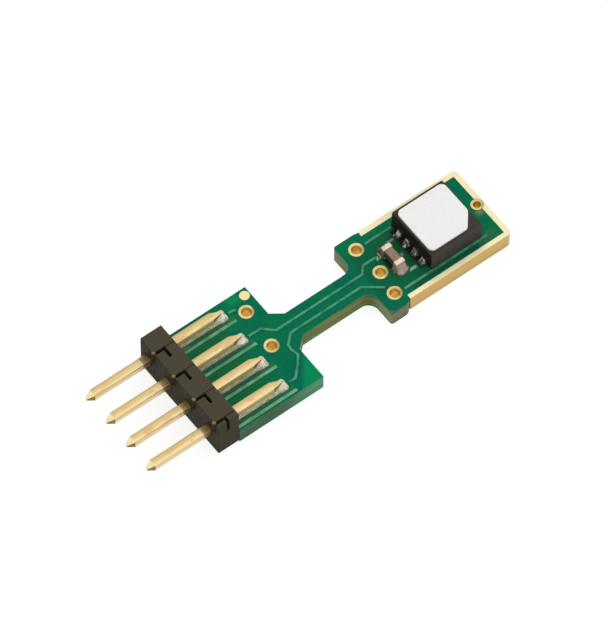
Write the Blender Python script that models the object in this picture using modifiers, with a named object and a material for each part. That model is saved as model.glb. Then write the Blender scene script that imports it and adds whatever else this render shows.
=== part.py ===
"""Temperature and humidity sensor module: a small dog-bone circuit board with a pin header.

The header end carries a four-pin header. A narrow neck joins it to the sensor head, whose
edge is gold plated on three sides. Lengths are in metres, +X runs from the pin tips to the
sensor head, +Z is up, and the origin lies under the middle of the whole module.
"""
import math

import bmesh
import bpy
from mathutils import Matrix, Vector

# Clearance between pieces that touch on the real module
SEAT = 0.00001

# Circuit board: its header end follows the pins, its other end follows the sensor
BOARD_THICKNESS = 0.0008
HEADER_BEYOND_PINS = 0.001535
HEADER_TRIM = 0.00013
NECK_LENGTH = 0.00373
NECK_WIDTH = 0.00116
HEAD_BEYOND_SENSOR = 0.001035
WING_WIDTH = 0.00369
WING_CORNER = 0.0001
WING_ROUND = 0.0003
NECK_CHAMFER_X = 0.0005
NECK_CHAMFER_Y = 0.0004
NECK_FILLET = 0.00045

# Gold plated edge of the sensor head
PLATED_WIDTH = 0.00349
PLATING = 0.000035
LIP_WIDTH = 0.00024
PLATED_CORNER = 0.00022
WING_LENGTH_LEFT = 0.00118
WING_LENGTH_RIGHT = 0.00098

# Copper lands and plated holes
LAND = 0.00003
VIA_HOLE = 0.0004
VIA_LAND = 0.00061
VIA_WALL = 0.000025
VIA_LIP_CHAMFER = 0.000015
END_VIA_HOLE = 0.0003
END_VIA_LAND = 0.0005
HEADER_VIA_INSET = 0.00062
HEADER_VIA_BELOW_MARK = 0.000625
HEADER_VIA_SKEW = 0.00013
HEADER_VIA_LOW_Y = -0.00022
HEAD_VIA_INSET = 0.00065
HEAD_VIA_Y = 0.00124
HEAD_VIA_MIDDLE_INSET = 0.00078
HEAD_VIA_MIDDLE_Y = -0.00011
HEAD_VIA_LOW_Y = -0.00117
END_VIA_INSET = 0.0003
END_VIA_Y = 0.00008
FIDUCIAL = 0.00041
FIDUCIAL_INSET_X = 0.00024
FIDUCIAL_INSET_Y = 0.0003

# Pin header
PIN_COUNT = 4
PIN_PITCH = 0.00127
PIN_ROW_Y = 0.00005
PIN_WIDTH = 0.000364
PIN_LENGTH = 0.00631
PIN_OVERHANG = 0.002905
PIN_TAPER = 0.0003
PIN_TAPER_ON_BOARD = 0.00045
PIN_TIP = 0.00011
PIN_ROUNDING = 0.00004
PIN_STANDOFF = 0.000118
HOUSING_DEPTH = 0.00098
HOUSING_TRIM = 0.00016
HOUSING_HEIGHT = 0.0019
HOUSING_BELOW_PINS = 0.001
HOUSING_Y = -0.000015
HOUSING_ROUNDING = 0.00003
PIN_RECESS_BORDER = 0.00005
PIN_RECESS_DEPTH = 0.00004

# Snap slots between the cells of the header housing
SLOT_WIDTH = 0.00013
SLOT_OFFSET = 0.000345
SLOT_REACH = 0.00053
SLOT_TAIL = 0.0005
SLOT_DEPTH = 0.00065
SLOT_FLARE = 0.0001
SCORE_INSET = 0.00001
SCORE_WIDTH = 0.00004
SCORE_DEPTH = 0.00004

# Pin pads and their solder
PAD_WIDTH = 0.00052
PAD_BEYOND_PIN = 0.000225
PAD_INSET = 0.00004
PAD_CORNER = 0.0001
JOINT_WIDTH = 0.00048
JOINT_HEIGHT = 0.00019
JOINT_SLOPE = 0.00004
JOINT_BORDER = 0.00004

# Sensor package, its terminals and its membrane
SENSOR_SIZE = 0.00246
SENSOR_DRAFT = 0.000015
SENSOR_HEIGHT = 0.0009
SENSOR_STANDOFF = 0.00003
SENSOR_INSET = 0.002375
SENSOR_Y = 0.000035
SENSOR_ROUNDING = 0.00004
TERMINAL_PITCH = 0.0005
TERMINALS_A_SIDE = 4
TERMINAL_WIDTH = 0.00025
TERMINAL_LENGTH = 0.00035
TERMINAL_HEIGHT = 0.0002
TERMINAL_PROUD = 0.00002
DIE_PAD_X = 0.001
DIE_PAD_Y = 0.0017
VENT_TOP = 0.0011
VENT_BOTTOM = 0.0008
VENT_DEPTH = 0.0004
DIE_SIZE = 0.0004
DIE_HEIGHT = 0.0001
MEMBRANE_SIZE = 0.00225
MEMBRANE_THICKNESS = 0.0001
MEMBRANE_CORNER = 0.00022
MEMBRANE_KEY_X = 0.0005
MEMBRANE_KEY_Y = 0.00066
MEMBRANE_KEY_CORNER = 0.0001
MEMBRANE_ROUNDING = 0.000025

# Capacitor
CAPACITOR_LENGTH = 0.001
CAPACITOR_WIDTH = 0.00048
CAPACITOR_HEIGHT = 0.00047
CAPACITOR_STANDOFF = 0.00003
CAPACITOR_TO_SENSOR = 0.00065
CAPACITOR_Y = 0.000015
END_CAP_LENGTH = 0.0002
END_CAP_WALL = 0.000025
CAPACITOR_ROUNDING = 0.00003

# Solder beside the capacitor and the sensor terminals
CAPACITOR_JOINT_BEYOND = 0.00021
CAPACITOR_JOINT_UNDER = 0.00026
CAPACITOR_JOINT_SIDE = 0.00012
CAPACITOR_JOINT_HEIGHT = 0.00034
CAPACITOR_JOINT_SLOPE = 0.00016
SENSOR_JOINT_BEYOND = 0.00027
SENSOR_JOINT_WIDTH = 0.00031
SENSOR_JOINT_HEIGHT = 0.00016
SENSOR_JOINT_SLOPE = 0.00007
JOINT_ROUNDING = 0.00003

# Copper tracks under the green lacquer
TRACK_WIDTH = 0.0001
TRACK_HEIGHT = 0.00002
TRACK_LANE = 0.00021
TRACK_MARGIN = 0.00006

# Bends of the tracks, as distances past the header's end or the neck's end
CLOCK_LEAVES_PIN = -0.00065
CLOCK_JOINS_LANE = -0.00022
CLOCK_LEAVES_LANE = 0.00015
CLOCK_JOINS_CAPACITOR = 0.00042
SUPPLY_LEAVES_PIN = -0.001
DATA_JOINS_LANE = 0.00015
DATA_LEAVES_LANE = -0.00022
DATA_REACHES_VIA = 0.00015

# Bends of the data track between its pin and the neck, as distances past the header's end
# and up from the pin
DATA_BENDS = ((-0.0009, 0.0), (-0.00045, 0.00045), (-0.0002, 0.00077), (-0.00027, 0.0011), (-0.00025, 0.00132))

# Copper strips beside the pin pads
STRIP_OFFSET = 0.000485
STRIP_WIDTH = 0.00013
STRIP_BEYOND_PAD = 0.00016

# Facets
ARC_STEPS = 8
VIA_STEPS = 32
DRAWING_SCALE = 1000.0
MERGE_DISTANCE = 1e-7

# Lengths of the board's two ends, and widths over all pins
HEADER_LENGTH = PIN_LENGTH - PIN_OVERHANG - HOUSING_DEPTH - SEAT + HEADER_BEYOND_PINS
HEAD_LENGTH = SENSOR_INSET + SENSOR_SIZE + HEAD_BEYOND_SENSOR
HEADER_WIDTH = PIN_COUNT * PIN_PITCH - HEADER_TRIM
HOUSING_WIDTH = PIN_COUNT * PIN_PITCH - HOUSING_TRIM

# Places along X, worked out from the sizes above
OVERALL = PIN_OVERHANG + HOUSING_DEPTH + SEAT + HEADER_LENGTH + NECK_LENGTH + HEAD_LENGTH
PIN_X0 = -OVERALL / 2
PIN_X1 = PIN_X0 + PIN_LENGTH
HOUSING_X0 = PIN_X0 + PIN_OVERHANG
HOUSING_X1 = HOUSING_X0 + HOUSING_DEPTH
HEADER_X0 = HOUSING_X1 + SEAT
HEADER_X1 = HEADER_X0 + HEADER_LENGTH
HEAD_X0 = HEADER_X1 + NECK_LENGTH
HEAD_X1 = HEAD_X0 + HEAD_LENGTH
PAD_X0 = HEADER_X0 + PAD_INSET
PAD_X1 = PIN_X1 + PAD_BEYOND_PIN

# Heights: the underside of the board is at zero
TOP = BOARD_THICKNESS
ON_BOARD = TOP + SEAT
PIN_Z = TOP + PIN_STANDOFF + PIN_WIDTH / 2
HOUSING_Z0 = PIN_Z - HOUSING_BELOW_PINS
HOUSING_Z1 = HOUSING_Z0 + HOUSING_HEIGHT
SENSOR_Z0 = TOP + SENSOR_STANDOFF
SENSOR_Z1 = SENSOR_Z0 + SENSOR_HEIGHT

# Middles of the parts on the head
SENSOR_X = HEAD_X0 + SENSOR_INSET + SENSOR_SIZE / 2
CAPACITOR_X = SENSOR_X - SENSOR_SIZE / 2 - CAPACITOR_TO_SENSOR - CAPACITOR_WIDTH / 2
MARK_X = HEADER_X1 - FIDUCIAL_INSET_X
MARK_Y = HEADER_WIDTH / 2 - FIDUCIAL_INSET_Y

# Board edge inside the plating, and the inner line of its lips
TONGUE = PLATED_WIDTH / 2 - PLATING - SEAT
TONGUE_X1 = HEAD_X1 - PLATING - SEAT

# name: colour, roughness, metallic
FINISHES = {
    "green_lacquer": ((0.012, 0.16, 0.085), 0.3, 0.0),
    "green_track": ((0.06, 0.3, 0.19), 0.3, 0.0),
    "gold": ((0.85, 0.62, 0.27), 0.3, 1.0),
    "black_plastic": ((0.055, 0.047, 0.04), 0.5, 0.0),
    "solder": ((0.72, 0.7, 0.67), 0.35, 1.0),
    "moulding": ((0.03, 0.027, 0.028), 0.55, 0.0),
    "membrane": ((0.85, 0.85, 0.84), 0.8, 0.0),
    "ceramic": ((0.24, 0.19, 0.14), 0.5, 0.0),
    "tin": ((0.8, 0.7, 0.66), 0.3, 1.0),
    "silicon": ((0.12, 0.13, 0.16), 0.2, 0.6),
}


def clear_scene():
    """Start from an empty scene."""
    for obj in list(bpy.data.objects):
        bpy.data.objects.remove(obj)


def make_collection(name):
    """New collection under the scene's own."""
    collection = bpy.data.collections.new(name)
    bpy.context.scene.collection.children.link(collection)
    return collection


def make_materials():
    """One Principled material for each finish."""
    made = {}
    for name, (colour, roughness, metallic) in FINISHES.items():
        material = bpy.data.materials.new(name)
        material.use_nodes = True
        shader = material.node_tree.nodes["Principled BSDF"]
        shader.inputs["Base Color"].default_value = (*colour, 1.0)
        shader.inputs["Roughness"].default_value = roughness
        shader.inputs["Metallic"].default_value = metallic
        made[name] = material
    return made


class Workshop:
    """Where finished pieces and cutters are put."""

    def __init__(self):
        self.parts = make_collection("sensor_module")
        self.cutters = make_collection("cutters")
        self.materials = make_materials()
        self.frame = bpy.data.objects.new("module_frame", None)
        self.parts.objects.link(self.frame)

    def piece(self, name, mesh, finish, place=(0, 0, 0)):
        """A named piece of the module."""
        mesh.materials.clear()
        mesh.materials.append(self.materials[finish])
        obj = bpy.data.objects.new(name, mesh)
        obj.location = place
        obj.parent = self.frame
        self.parts.objects.link(obj)
        return obj

    def cutter(self, name, mesh, place=(0, 0, 0)):
        """A guide shape that is only cut away from others."""
        obj = bpy.data.objects.new(name, mesh)
        obj.location = place
        obj.hide_render = True
        obj.display_type = "WIRE"
        self.cutters.objects.link(obj)
        return obj


def cut(target, *cutters, solver="EXACT"):
    """Take the cutters out of the target."""
    for cutter in cutters:
        boolean = target.modifiers.new("cut", "BOOLEAN")
        boolean.operation = "DIFFERENCE"
        boolean.solver = solver
        boolean.object = cutter


def finish_mesh(bm, name):
    """Turn a bmesh into a mesh with its faces pointing out."""
    bmesh.ops.recalc_face_normals(bm, faces=bm.faces)
    mesh = bpy.data.meshes.new(name)
    bm.to_mesh(mesh)
    bm.free()
    return mesh


def box_bmesh(low, high):
    """A box between two corners."""
    size = [b - a for a, b in zip(low, high)]
    middle = [(a + b) / 2 for a, b in zip(low, high)]
    bm = bmesh.new()
    bmesh.ops.create_cube(bm, size=1)
    bmesh.ops.scale(bm, vec=size, verts=bm.verts)
    bmesh.ops.translate(bm, vec=middle, verts=bm.verts)
    return bm


def bevel(bm, edges, width, segments=2):
    """Round edges, or chamfer them with one segment."""
    bmesh.ops.bevel(bm, geom=edges, offset=width, segments=segments, profile=0.5,
                    affect="EDGES", clamp_overlap=True, material=-1)


def box_mesh(name, low, high, rounding=0.0):
    """A box, with all its edges rounded if asked."""
    bm = box_bmesh(low, high)
    if rounding:
        bevel(bm, bm.edges[:], rounding)
    return finish_mesh(bm, name)


def arc(cx, cy, radius, start, end, steps=ARC_STEPS):
    """Points along an arc, angles in degrees."""
    points = []
    for i in range(steps + 1):
        angle = math.radians(start + (end - start) * i / steps)
        points.append((cx + radius * math.cos(angle), cy + radius * math.sin(angle)))
    return points


def rectangle(x0, y0, x1, y1, radius, steps=4):
    """Outline of a rectangle with round corners."""
    corners = ((x1 - radius, y0 + radius, -90), (x1 - radius, y1 - radius, 0),
               (x0 + radius, y1 - radius, 90), (x0 + radius, y0 + radius, 180))
    points = []
    for cx, cy, start in corners:
        points += arc(cx, cy, radius, start, start + 90, steps)
    return points


def plate_bmesh(points, bottom, top):
    """Flat plate with the given outline.

    The outline is filled as a curve drawn in millimetres, because filling joins points that
    lie closer than a few hundredths of a millimetre when it is drawn in metres.
    """
    curve = bpy.data.curves.new("outline", "CURVE")
    curve.dimensions = "2D"
    curve.fill_mode = "BOTH"
    curve.extrude = (top - bottom) / 2 * DRAWING_SCALE
    spline = curve.splines.new("POLY")
    spline.points.add(len(points) - 1)
    for point, (x, y) in zip(spline.points, points):
        point.co = (x * DRAWING_SCALE, y * DRAWING_SCALE, 0, 1)
    spline.use_cyclic_u = True
    drawing = bpy.data.objects.new("outline", curve)
    bpy.context.scene.collection.objects.link(drawing)
    evaluated = drawing.evaluated_get(bpy.context.evaluated_depsgraph_get())
    mesh = bpy.data.meshes.new_from_object(evaluated)
    bm = bmesh.new()
    bm.from_mesh(mesh)
    bmesh.ops.transform(bm, matrix=Matrix.Scale(1 / DRAWING_SCALE, 4), verts=bm.verts)
    bmesh.ops.translate(bm, vec=(0, 0, (top + bottom) / 2), verts=bm.verts)
    bmesh.ops.remove_doubles(bm, verts=bm.verts, dist=MERGE_DISTANCE)
    bpy.data.objects.remove(drawing)
    return bm


def plate_mesh(name, points, bottom, top):
    """Mesh of a flat plate with the given outline."""
    return finish_mesh(plate_bmesh(points, bottom, top), name)


def turned_object(workshop, name, profile, place, finish=None):
    """Turn a closed profile of (radius, height) points about Z: a piece, or a cutter without finish."""
    bm = bmesh.new()
    verts = [bm.verts.new((radius, 0, height)) for radius, height in profile]
    for a, b in zip(verts, verts[1:] + verts[:1]):
        bm.edges.new((a, b))
    mesh = bpy.data.meshes.new(name)
    bm.to_mesh(mesh)
    bm.free()
    if finish:
        obj = workshop.piece(name, mesh, finish, place)
    else:
        obj = workshop.cutter(name, mesh, place)
    screw = obj.modifiers.new("turn", "SCREW")
    screw.axis = "Z"
    screw.steps = VIA_STEPS
    screw.render_steps = VIA_STEPS
    screw.use_merge_vertices = True
    screw.merge_threshold = MERGE_DISTANCE
    screw.use_smooth_shade = True
    return obj


def disc_mesh(name, radius, bottom, top):
    """Solid round disc about Z."""
    bm = bmesh.new()
    bmesh.ops.create_cone(bm, cap_ends=True, segments=VIA_STEPS, radius1=radius, radius2=radius,
                          depth=top - bottom)
    bmesh.ops.translate(bm, vec=(0, 0, (top + bottom) / 2), verts=bm.verts)
    return finish_mesh(bm, name)


def pin_y(index):
    """Middle of a header pin, counted from the +Y side."""
    return PIN_ROW_Y + ((PIN_COUNT - 1) / 2 - index) * PIN_PITCH


def wing_end(side):
    """Where the plating begins on one side of the head: side is 1 for +Y, -1 for -Y."""
    return HEAD_X0 + (WING_LENGTH_LEFT if side > 0 else WING_LENGTH_RIGHT)


def board_side(side):
    """Outline of the board on one side, from the header's pin edge to the head's far corner."""
    half_header = HEADER_WIDTH / 2
    half_neck = NECK_WIDTH / 2
    half_wing = WING_WIDTH / 2
    corner = PLATED_CORNER - PLATING
    points = [(HEADER_X0, -half_header), (HEADER_X1, -half_header),
              (HEADER_X1, -half_neck - NECK_CHAMFER_Y), (HEADER_X1 + NECK_CHAMFER_X, -half_neck)]
    points += arc(HEAD_X0 - NECK_FILLET, -half_neck - NECK_FILLET, NECK_FILLET, 90, 0)
    points += arc(HEAD_X0 + WING_CORNER, -half_wing + WING_CORNER, WING_CORNER, 180, 270, 3)
    rise = (half_wing - TONGUE) / WING_ROUND
    sweep = math.degrees(math.acos(1 - rise))
    middle = wing_end(side) - WING_ROUND
    points += arc(middle, -half_wing + WING_ROUND, WING_ROUND, -90, -90 + sweep, 5)
    points += arc(TONGUE_X1 - corner, -TONGUE + corner, corner, -90, 0, 5)
    return [(x, -side * y) for x, y in points]


def board_outline():
    """The whole board, inside its plating."""
    return board_side(-1) + board_side(1)[::-1]


def band_line(inset, overlap):
    """Line round the plated end of the head, at an inset from the gold face."""
    half = PLATED_WIDTH / 2 - inset
    end = HEAD_X1 - inset
    radius = PLATED_CORNER - inset
    right, left = [(end, -half)], [(end, half)]
    if radius > LAND:
        right = arc(end - radius, -half + radius, radius, -90, 0)
        left = arc(end - radius, half - radius, radius, 0, 90)
    return [(wing_end(-1) - overlap, -half), *right, *left, (wing_end(1) - overlap, half)]


def edge_band(outer, inner, overlap=0.0):
    """Outline of a U round the plated end of the head, between two insets from the gold face."""
    return band_line(outer, overlap) + band_line(inner, overlap)[::-1]


def via_places():
    """Name, place, hole and land diameter of each plated hole."""
    header_x = HEADER_X1 - HEADER_VIA_INSET
    return (
        ("header_via_1", header_x, MARK_Y - HEADER_VIA_BELOW_MARK, VIA_HOLE, VIA_LAND),
        ("header_via_2", header_x - HEADER_VIA_SKEW, HEADER_VIA_LOW_Y, VIA_HOLE, VIA_LAND),
        ("head_via_1", HEAD_X0 + HEAD_VIA_INSET, HEAD_VIA_Y, VIA_HOLE, VIA_LAND),
        ("head_via_2", HEAD_X0 + HEAD_VIA_MIDDLE_INSET, HEAD_VIA_MIDDLE_Y, VIA_HOLE, VIA_LAND),
        ("head_via_3", HEAD_X0 + HEAD_VIA_INSET, HEAD_VIA_LOW_Y, VIA_HOLE, VIA_LAND),
        ("end_via", HEAD_X1 - END_VIA_INSET, END_VIA_Y, END_VIA_HOLE, END_VIA_LAND),
    )


def spool(bore, barrel, land, depth, bottom, top, chamfer=0.0):
    """Profile of a spool: a barrel between two flanges, open through its bore."""
    return [(land, top), (land, top - depth), (barrel, top - depth), (barrel, bottom + depth),
            (land, bottom + depth), (land, bottom), (bore + chamfer, bottom),
            (bore, bottom + chamfer), (bore, top - chamfer), (bore + chamfer, top)]


def hollow(barrel, land, depth):
    """Profile that clears a spool out of the board, closed on its axis."""
    over = depth
    return [(land, TOP + over), (land, TOP - depth), (barrel, TOP - depth), (barrel, depth),
            (land, depth), (land, -over), (0, -over), (0, TOP + over)]


def add_vias(workshop):
    """Plated holes: each is one spool of copper and gold with a land on both faces of the board."""
    clearances = []
    for name, x, y, hole, land in via_places():
        barrel = hole / 2 + VIA_WALL
        profile = spool(hole / 2, barrel, land / 2, LAND, 0, TOP, VIA_LIP_CHAMFER)
        turned_object(workshop, name, profile, (x, y, 0), "gold")
        clear = hollow(barrel + SEAT, land / 2 + SEAT, LAND + 2 * SEAT)
        clearances.append(turned_object(workshop, name + "_clearance", clear, (x, y, 0)))
    return clearances


def add_pads(workshop):
    """Flat copper lands for the pins, and the round one near the header's corner."""
    clearances = []
    for i in range(PIN_COUNT):
        low, high = pin_y(i) - PAD_WIDTH / 2, pin_y(i) + PAD_WIDTH / 2
        pad = rectangle(PAD_X0, low, PAD_X1, high, PAD_CORNER)
        workshop.piece(f"pin_pad_{i + 1}", plate_mesh("pad", pad, TOP - LAND, TOP), "gold")
        room = rectangle(PAD_X0 - SEAT, low - SEAT, PAD_X1 + SEAT, high + SEAT, PAD_CORNER + SEAT)
        mesh = plate_mesh("pad_room", room, TOP - LAND - SEAT, TOP + LAND)
        clearances.append(workshop.cutter(f"pad_clearance_{i + 1}", mesh))
    place = (MARK_X, MARK_Y, 0)
    mark = disc_mesh("mark", FIDUCIAL / 2, TOP - LAND, TOP)
    workshop.piece("alignment_mark", mark, "gold", place)
    room = disc_mesh("mark_room", FIDUCIAL / 2 + SEAT, TOP - LAND - SEAT, TOP + LAND)
    clearances.append(workshop.cutter("mark_clearance", room, place))
    return clearances


def add_edge_plating(workshop, end_via_clearance):
    """Gold channel that wraps the edge of the head on three sides."""
    plating = workshop.piece("edge_plating", plate_mesh("channel", edge_band(0, LIP_WIDTH), 0, TOP), "gold")
    inside = edge_band(PLATING, LIP_WIDTH + LAND, LAND)
    inside_mesh = plate_mesh("channel_inside", inside, LAND, TOP - LAND)
    cut(plating, workshop.cutter("channel_inside", inside_mesh), end_via_clearance)
    rooms = []
    step = LAND + SEAT
    lip_room = edge_band(-LAND, LIP_WIDTH + SEAT, SEAT)
    for name, bottom, top in (("lip_room_under", -LAND, step), ("lip_room_over", TOP - step, TOP + LAND)):
        rooms.append(workshop.cutter(name, plate_mesh(name, lip_room, bottom, top)))
    return rooms


def add_board(workshop, clearances):
    """The board itself, with room for its lands, plated holes and edge plating.

    Its many round cutters leave the exact solver with open edges at some lengths of the head.
    """
    board = workshop.piece("circuit_board", plate_mesh("board", board_outline(), 0, TOP), "green_lacquer")
    cut(board, *clearances, solver="MANIFOLD")


def pin_mesh(name, extra=0.0, rounding=0.0):
    """Square pin along +X from the origin, drawn to a small flat at both ends.

    Its taper is longer at the end that lies on the board.
    """
    length = PIN_LENGTH + 2 * extra
    width = PIN_WIDTH + 2 * extra
    tip = PIN_TIP + 2 * extra
    bm = box_bmesh((-extra, -width / 2, -width / 2), (length - extra, width / 2, width / 2))
    for x in (PIN_TAPER, PIN_LENGTH - PIN_TAPER_ON_BOARD):
        everything = bm.verts[:] + bm.edges[:] + bm.faces[:]
        bmesh.ops.bisect_plane(bm, geom=everything, plane_co=(x, 0, 0), plane_no=(1, 0, 0))
    ends = [v for v in bm.verts if not PIN_TAPER / 2 < v.co.x < PIN_LENGTH - PIN_TAPER / 2]
    bmesh.ops.scale(bm, vec=(1, tip / width, tip / width), verts=ends)
    if rounding:
        along = [e for e in bm.edges if abs(e.verts[0].co.x - e.verts[1].co.x) > PIN_TAPER / 2]
        bevel(bm, along, rounding)
    return finish_mesh(bm, name)


def add_pins(workshop):
    """Header pins, and the shapes that clear them out of their solder."""
    clearances = []
    for i in range(PIN_COUNT):
        place = (PIN_X0, pin_y(i), PIN_Z)
        workshop.piece(f"header_pin_{i + 1}", pin_mesh("pin", rounding=PIN_ROUNDING), "gold", place)
        clearances.append(workshop.cutter(f"pin_clearance_{i + 1}", pin_mesh("pin_room", SEAT), place))
    return clearances


def slot_outline(y, way):
    """L-shaped slot from the housing's front face: its long wall is at y, its tail goes the given way."""
    end = HOUSING_X0 + SLOT_REACH
    front = HOUSING_X0 - SLOT_FLARE
    return [(front, y - way * 2 * SLOT_FLARE), (HOUSING_X0 + SLOT_FLARE, y), (end, y),
            (end, y + way * SLOT_TAIL), (end - SLOT_WIDTH, y + way * SLOT_TAIL),
            (end - SLOT_WIDTH, y + way * SLOT_WIDTH), (front, y + way * SLOT_WIDTH)]


def add_slots(workshop, housing, index):
    """Cut the slot above a pin on its -Y side, and the one below it on its +Y side."""
    over = HOUSING_ROUNDING
    sides = (("top", -1, HOUSING_Z1 - SLOT_DEPTH, HOUSING_Z1 + over, HOUSING_Z1 - SCORE_DEPTH),
             ("bottom", 1, HOUSING_Z0 - over, HOUSING_Z0 + SLOT_DEPTH, HOUSING_Z0 + SCORE_DEPTH))
    for name, way, low, high, score in sides:
        y = pin_y(index) + way * SLOT_OFFSET
        slot = plate_mesh("slot", slot_outline(y, way), low, high)
        edge = high if way < 0 else low
        y0, y1 = span(y + way * SCORE_INSET, y + way * (SCORE_INSET + SCORE_WIDTH))
        z0, z1 = span(score, edge)
        score_low = (HOUSING_X0 + SLOT_REACH - SLOT_WIDTH / 2, y0, z0)
        score_high = (HOUSING_X1 + over, y1, z1)
        cut(housing, workshop.cutter(f"slot_{name}_{index + 1}", slot),
            workshop.cutter(f"score_{name}_{index + 1}", box_mesh("score", score_low, score_high)))


def add_housing(workshop):
    """Moulded insulator of the header, with a square hole and a shallow recess for each pin."""
    low = (HOUSING_X0, HOUSING_Y - HOUSING_WIDTH / 2, HOUSING_Z0)
    high = (HOUSING_X1, HOUSING_Y + HOUSING_WIDTH / 2, HOUSING_Z1)
    housing = workshop.piece("header_housing", box_mesh("housing", low, high, HOUSING_ROUNDING),
                             "black_plastic")
    over = HOUSING_ROUNDING
    hole = PIN_WIDTH / 2 + SEAT
    recess = PIN_WIDTH / 2 + PIN_RECESS_BORDER
    for i in range(PIN_COUNT):
        y = pin_y(i)
        passage = box_mesh("hole", (HOUSING_X0 - over, y - hole, PIN_Z - hole),
                           (HOUSING_X1 + over, y + hole, PIN_Z + hole))
        mouth = box_mesh("mouth", (HOUSING_X0 - over, y - recess, PIN_Z - recess),
                         (HOUSING_X0 + PIN_RECESS_DEPTH, y + recess, PIN_Z + recess))
        cut(housing, workshop.cutter(f"pin_hole_{i + 1}", passage),
            workshop.cutter(f"pin_mouth_{i + 1}", mouth))
        add_slots(workshop, housing, i)


def mound_mesh(name, low, high, slope):
    """Solder mound: a box whose sides lean in, with soft upper edges."""
    bm = box_bmesh(low, high)
    top = [v for v in bm.verts if v.co.z > (low[2] + high[2]) / 2]
    size = [b - a for a, b in zip(low, high)]
    middle = Vector(((low[0] + high[0]) / 2, (low[1] + high[1]) / 2, high[2]))
    factor = (1 - 2 * slope / size[0], 1 - 2 * slope / size[1], 1)
    bmesh.ops.scale(bm, vec=factor, verts=top, space=Matrix.Translation(-middle))
    upper = [e for e in bm.edges if any(v in top for v in e.verts)]
    bevel(bm, upper, JOINT_ROUNDING)
    return finish_mesh(bm, name)


def add_pin_joints(workshop, pin_clearances):
    """Solder round the part of each pin that lies on its pad."""
    for i, clearance in enumerate(pin_clearances):
        y = pin_y(i)
        low = (HEADER_X0 + JOINT_BORDER, y - JOINT_WIDTH / 2, ON_BOARD)
        high = (PAD_X1 - JOINT_BORDER, y + JOINT_WIDTH / 2, TOP + JOINT_HEIGHT)
        joint = workshop.piece(f"pin_solder_{i + 1}", mound_mesh("joint", low, high, JOINT_SLOPE), "solder")
        cut(joint, clearance)


def terminal_places():
    """Number, side and middle of each sensor terminal: side is -1 for -X, 1 for +X."""
    places = []
    for side in (-1, 1):
        for i in range(TERMINALS_A_SIDE):
            y = SENSOR_Y + ((TERMINALS_A_SIDE - 1) / 2 - i) * TERMINAL_PITCH
            places.append((len(places) + 1, side, y))
    return places


def span(a, b):
    """Two numbers in rising order."""
    return min(a, b), max(a, b)


def terminal_box(side, y, extra=0.0):
    """Corners of a terminal, or of the room for it in the package."""
    face = SENSOR_X + side * (SENSOR_SIZE / 2 + TERMINAL_PROUD + extra)
    inner = SENSOR_X + side * (SENSOR_SIZE / 2 - TERMINAL_LENGTH - extra)
    x0, x1 = span(face, inner)
    half = TERMINAL_WIDTH / 2 + extra
    return (x0, y - half, SENSOR_Z0 - extra), (x1, y + half, SENSOR_Z0 + TERMINAL_HEIGHT + extra)


def add_sensor(workshop):
    """Moulded sensor package with its terminals, die pad, vent, die and membrane."""
    half = SENSOR_SIZE / 2
    low = (SENSOR_X - half, SENSOR_Y - half, SENSOR_Z0)
    high = (SENSOR_X + half, SENSOR_Y + half, SENSOR_Z1)
    bm = box_bmesh(low, high)
    top = [v for v in bm.verts if v.co.z > (SENSOR_Z0 + SENSOR_Z1) / 2]
    drawn_in = 1 - SENSOR_DRAFT / half
    axis = Matrix.Translation((-SENSOR_X, -SENSOR_Y, 0))
    bmesh.ops.scale(bm, vec=(drawn_in, drawn_in, 1), verts=top, space=axis)
    upper = [e for e in bm.edges if any(v in top for v in e.verts)]
    bevel(bm, upper, SENSOR_ROUNDING)
    package = workshop.piece("sensor_package", finish_mesh(bm, "package"), "moulding")

    for number, side, y in terminal_places():
        workshop.piece(f"sensor_terminal_{number}", box_mesh("terminal", *terminal_box(side, y)), "tin")
        room = box_mesh("terminal_room", *terminal_box(side, y, SEAT))
        cut(package, workshop.cutter(f"terminal_clearance_{number}", room))

    for name, extra in (("sensor_die_pad", 0.0), ("die_pad_clearance", SEAT)):
        pad_low = (SENSOR_X - DIE_PAD_X / 2 - extra, SENSOR_Y - DIE_PAD_Y / 2 - extra, SENSOR_Z0 - extra)
        pad_high = (SENSOR_X + DIE_PAD_X / 2 + extra, SENSOR_Y + DIE_PAD_Y / 2 + extra,
                    SENSOR_Z0 + TERMINAL_HEIGHT + extra)
        mesh = box_mesh(name, pad_low, pad_high)
        if extra:
            cut(package, workshop.cutter(name, mesh))
        else:
            workshop.piece(name, mesh, "tin")

    bm = bmesh.new()
    bmesh.ops.create_cone(bm, cap_ends=True, segments=VIA_STEPS, radius1=VENT_BOTTOM / 2,
                          radius2=VENT_TOP / 2, depth=VENT_DEPTH)
    place = (SENSOR_X, SENSOR_Y, SENSOR_Z1 - VENT_DEPTH / 2)
    vent = workshop.cutter("vent", finish_mesh(bm, "vent"), place)
    cut(package, vent)

    floor = SENSOR_Z1 - VENT_DEPTH + SEAT
    die_low = (SENSOR_X - DIE_SIZE / 2, SENSOR_Y - DIE_SIZE / 2, floor)
    die_high = (SENSOR_X + DIE_SIZE / 2, SENSOR_Y + DIE_SIZE / 2, floor + DIE_HEIGHT)
    workshop.piece("sensor_die", box_mesh("die", die_low, die_high), "silicon")
    add_membrane(workshop)


def key_corner(start, end):
    """Points of the cut corner, both of whose ends are softened."""
    cut_line = (end - start).normalized() * MEMBRANE_KEY_CORNER
    points = []
    for corner, before, after in ((start, Vector((-MEMBRANE_KEY_CORNER, 0)), cut_line),
                                  (end, -cut_line, Vector((0, MEMBRANE_KEY_CORNER)))):
        for step in range(5):
            share = step / 4
            bend = corner + before * (1 - share) ** 2 + after * share ** 2
            points.append(tuple(bend))
    return points


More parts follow.
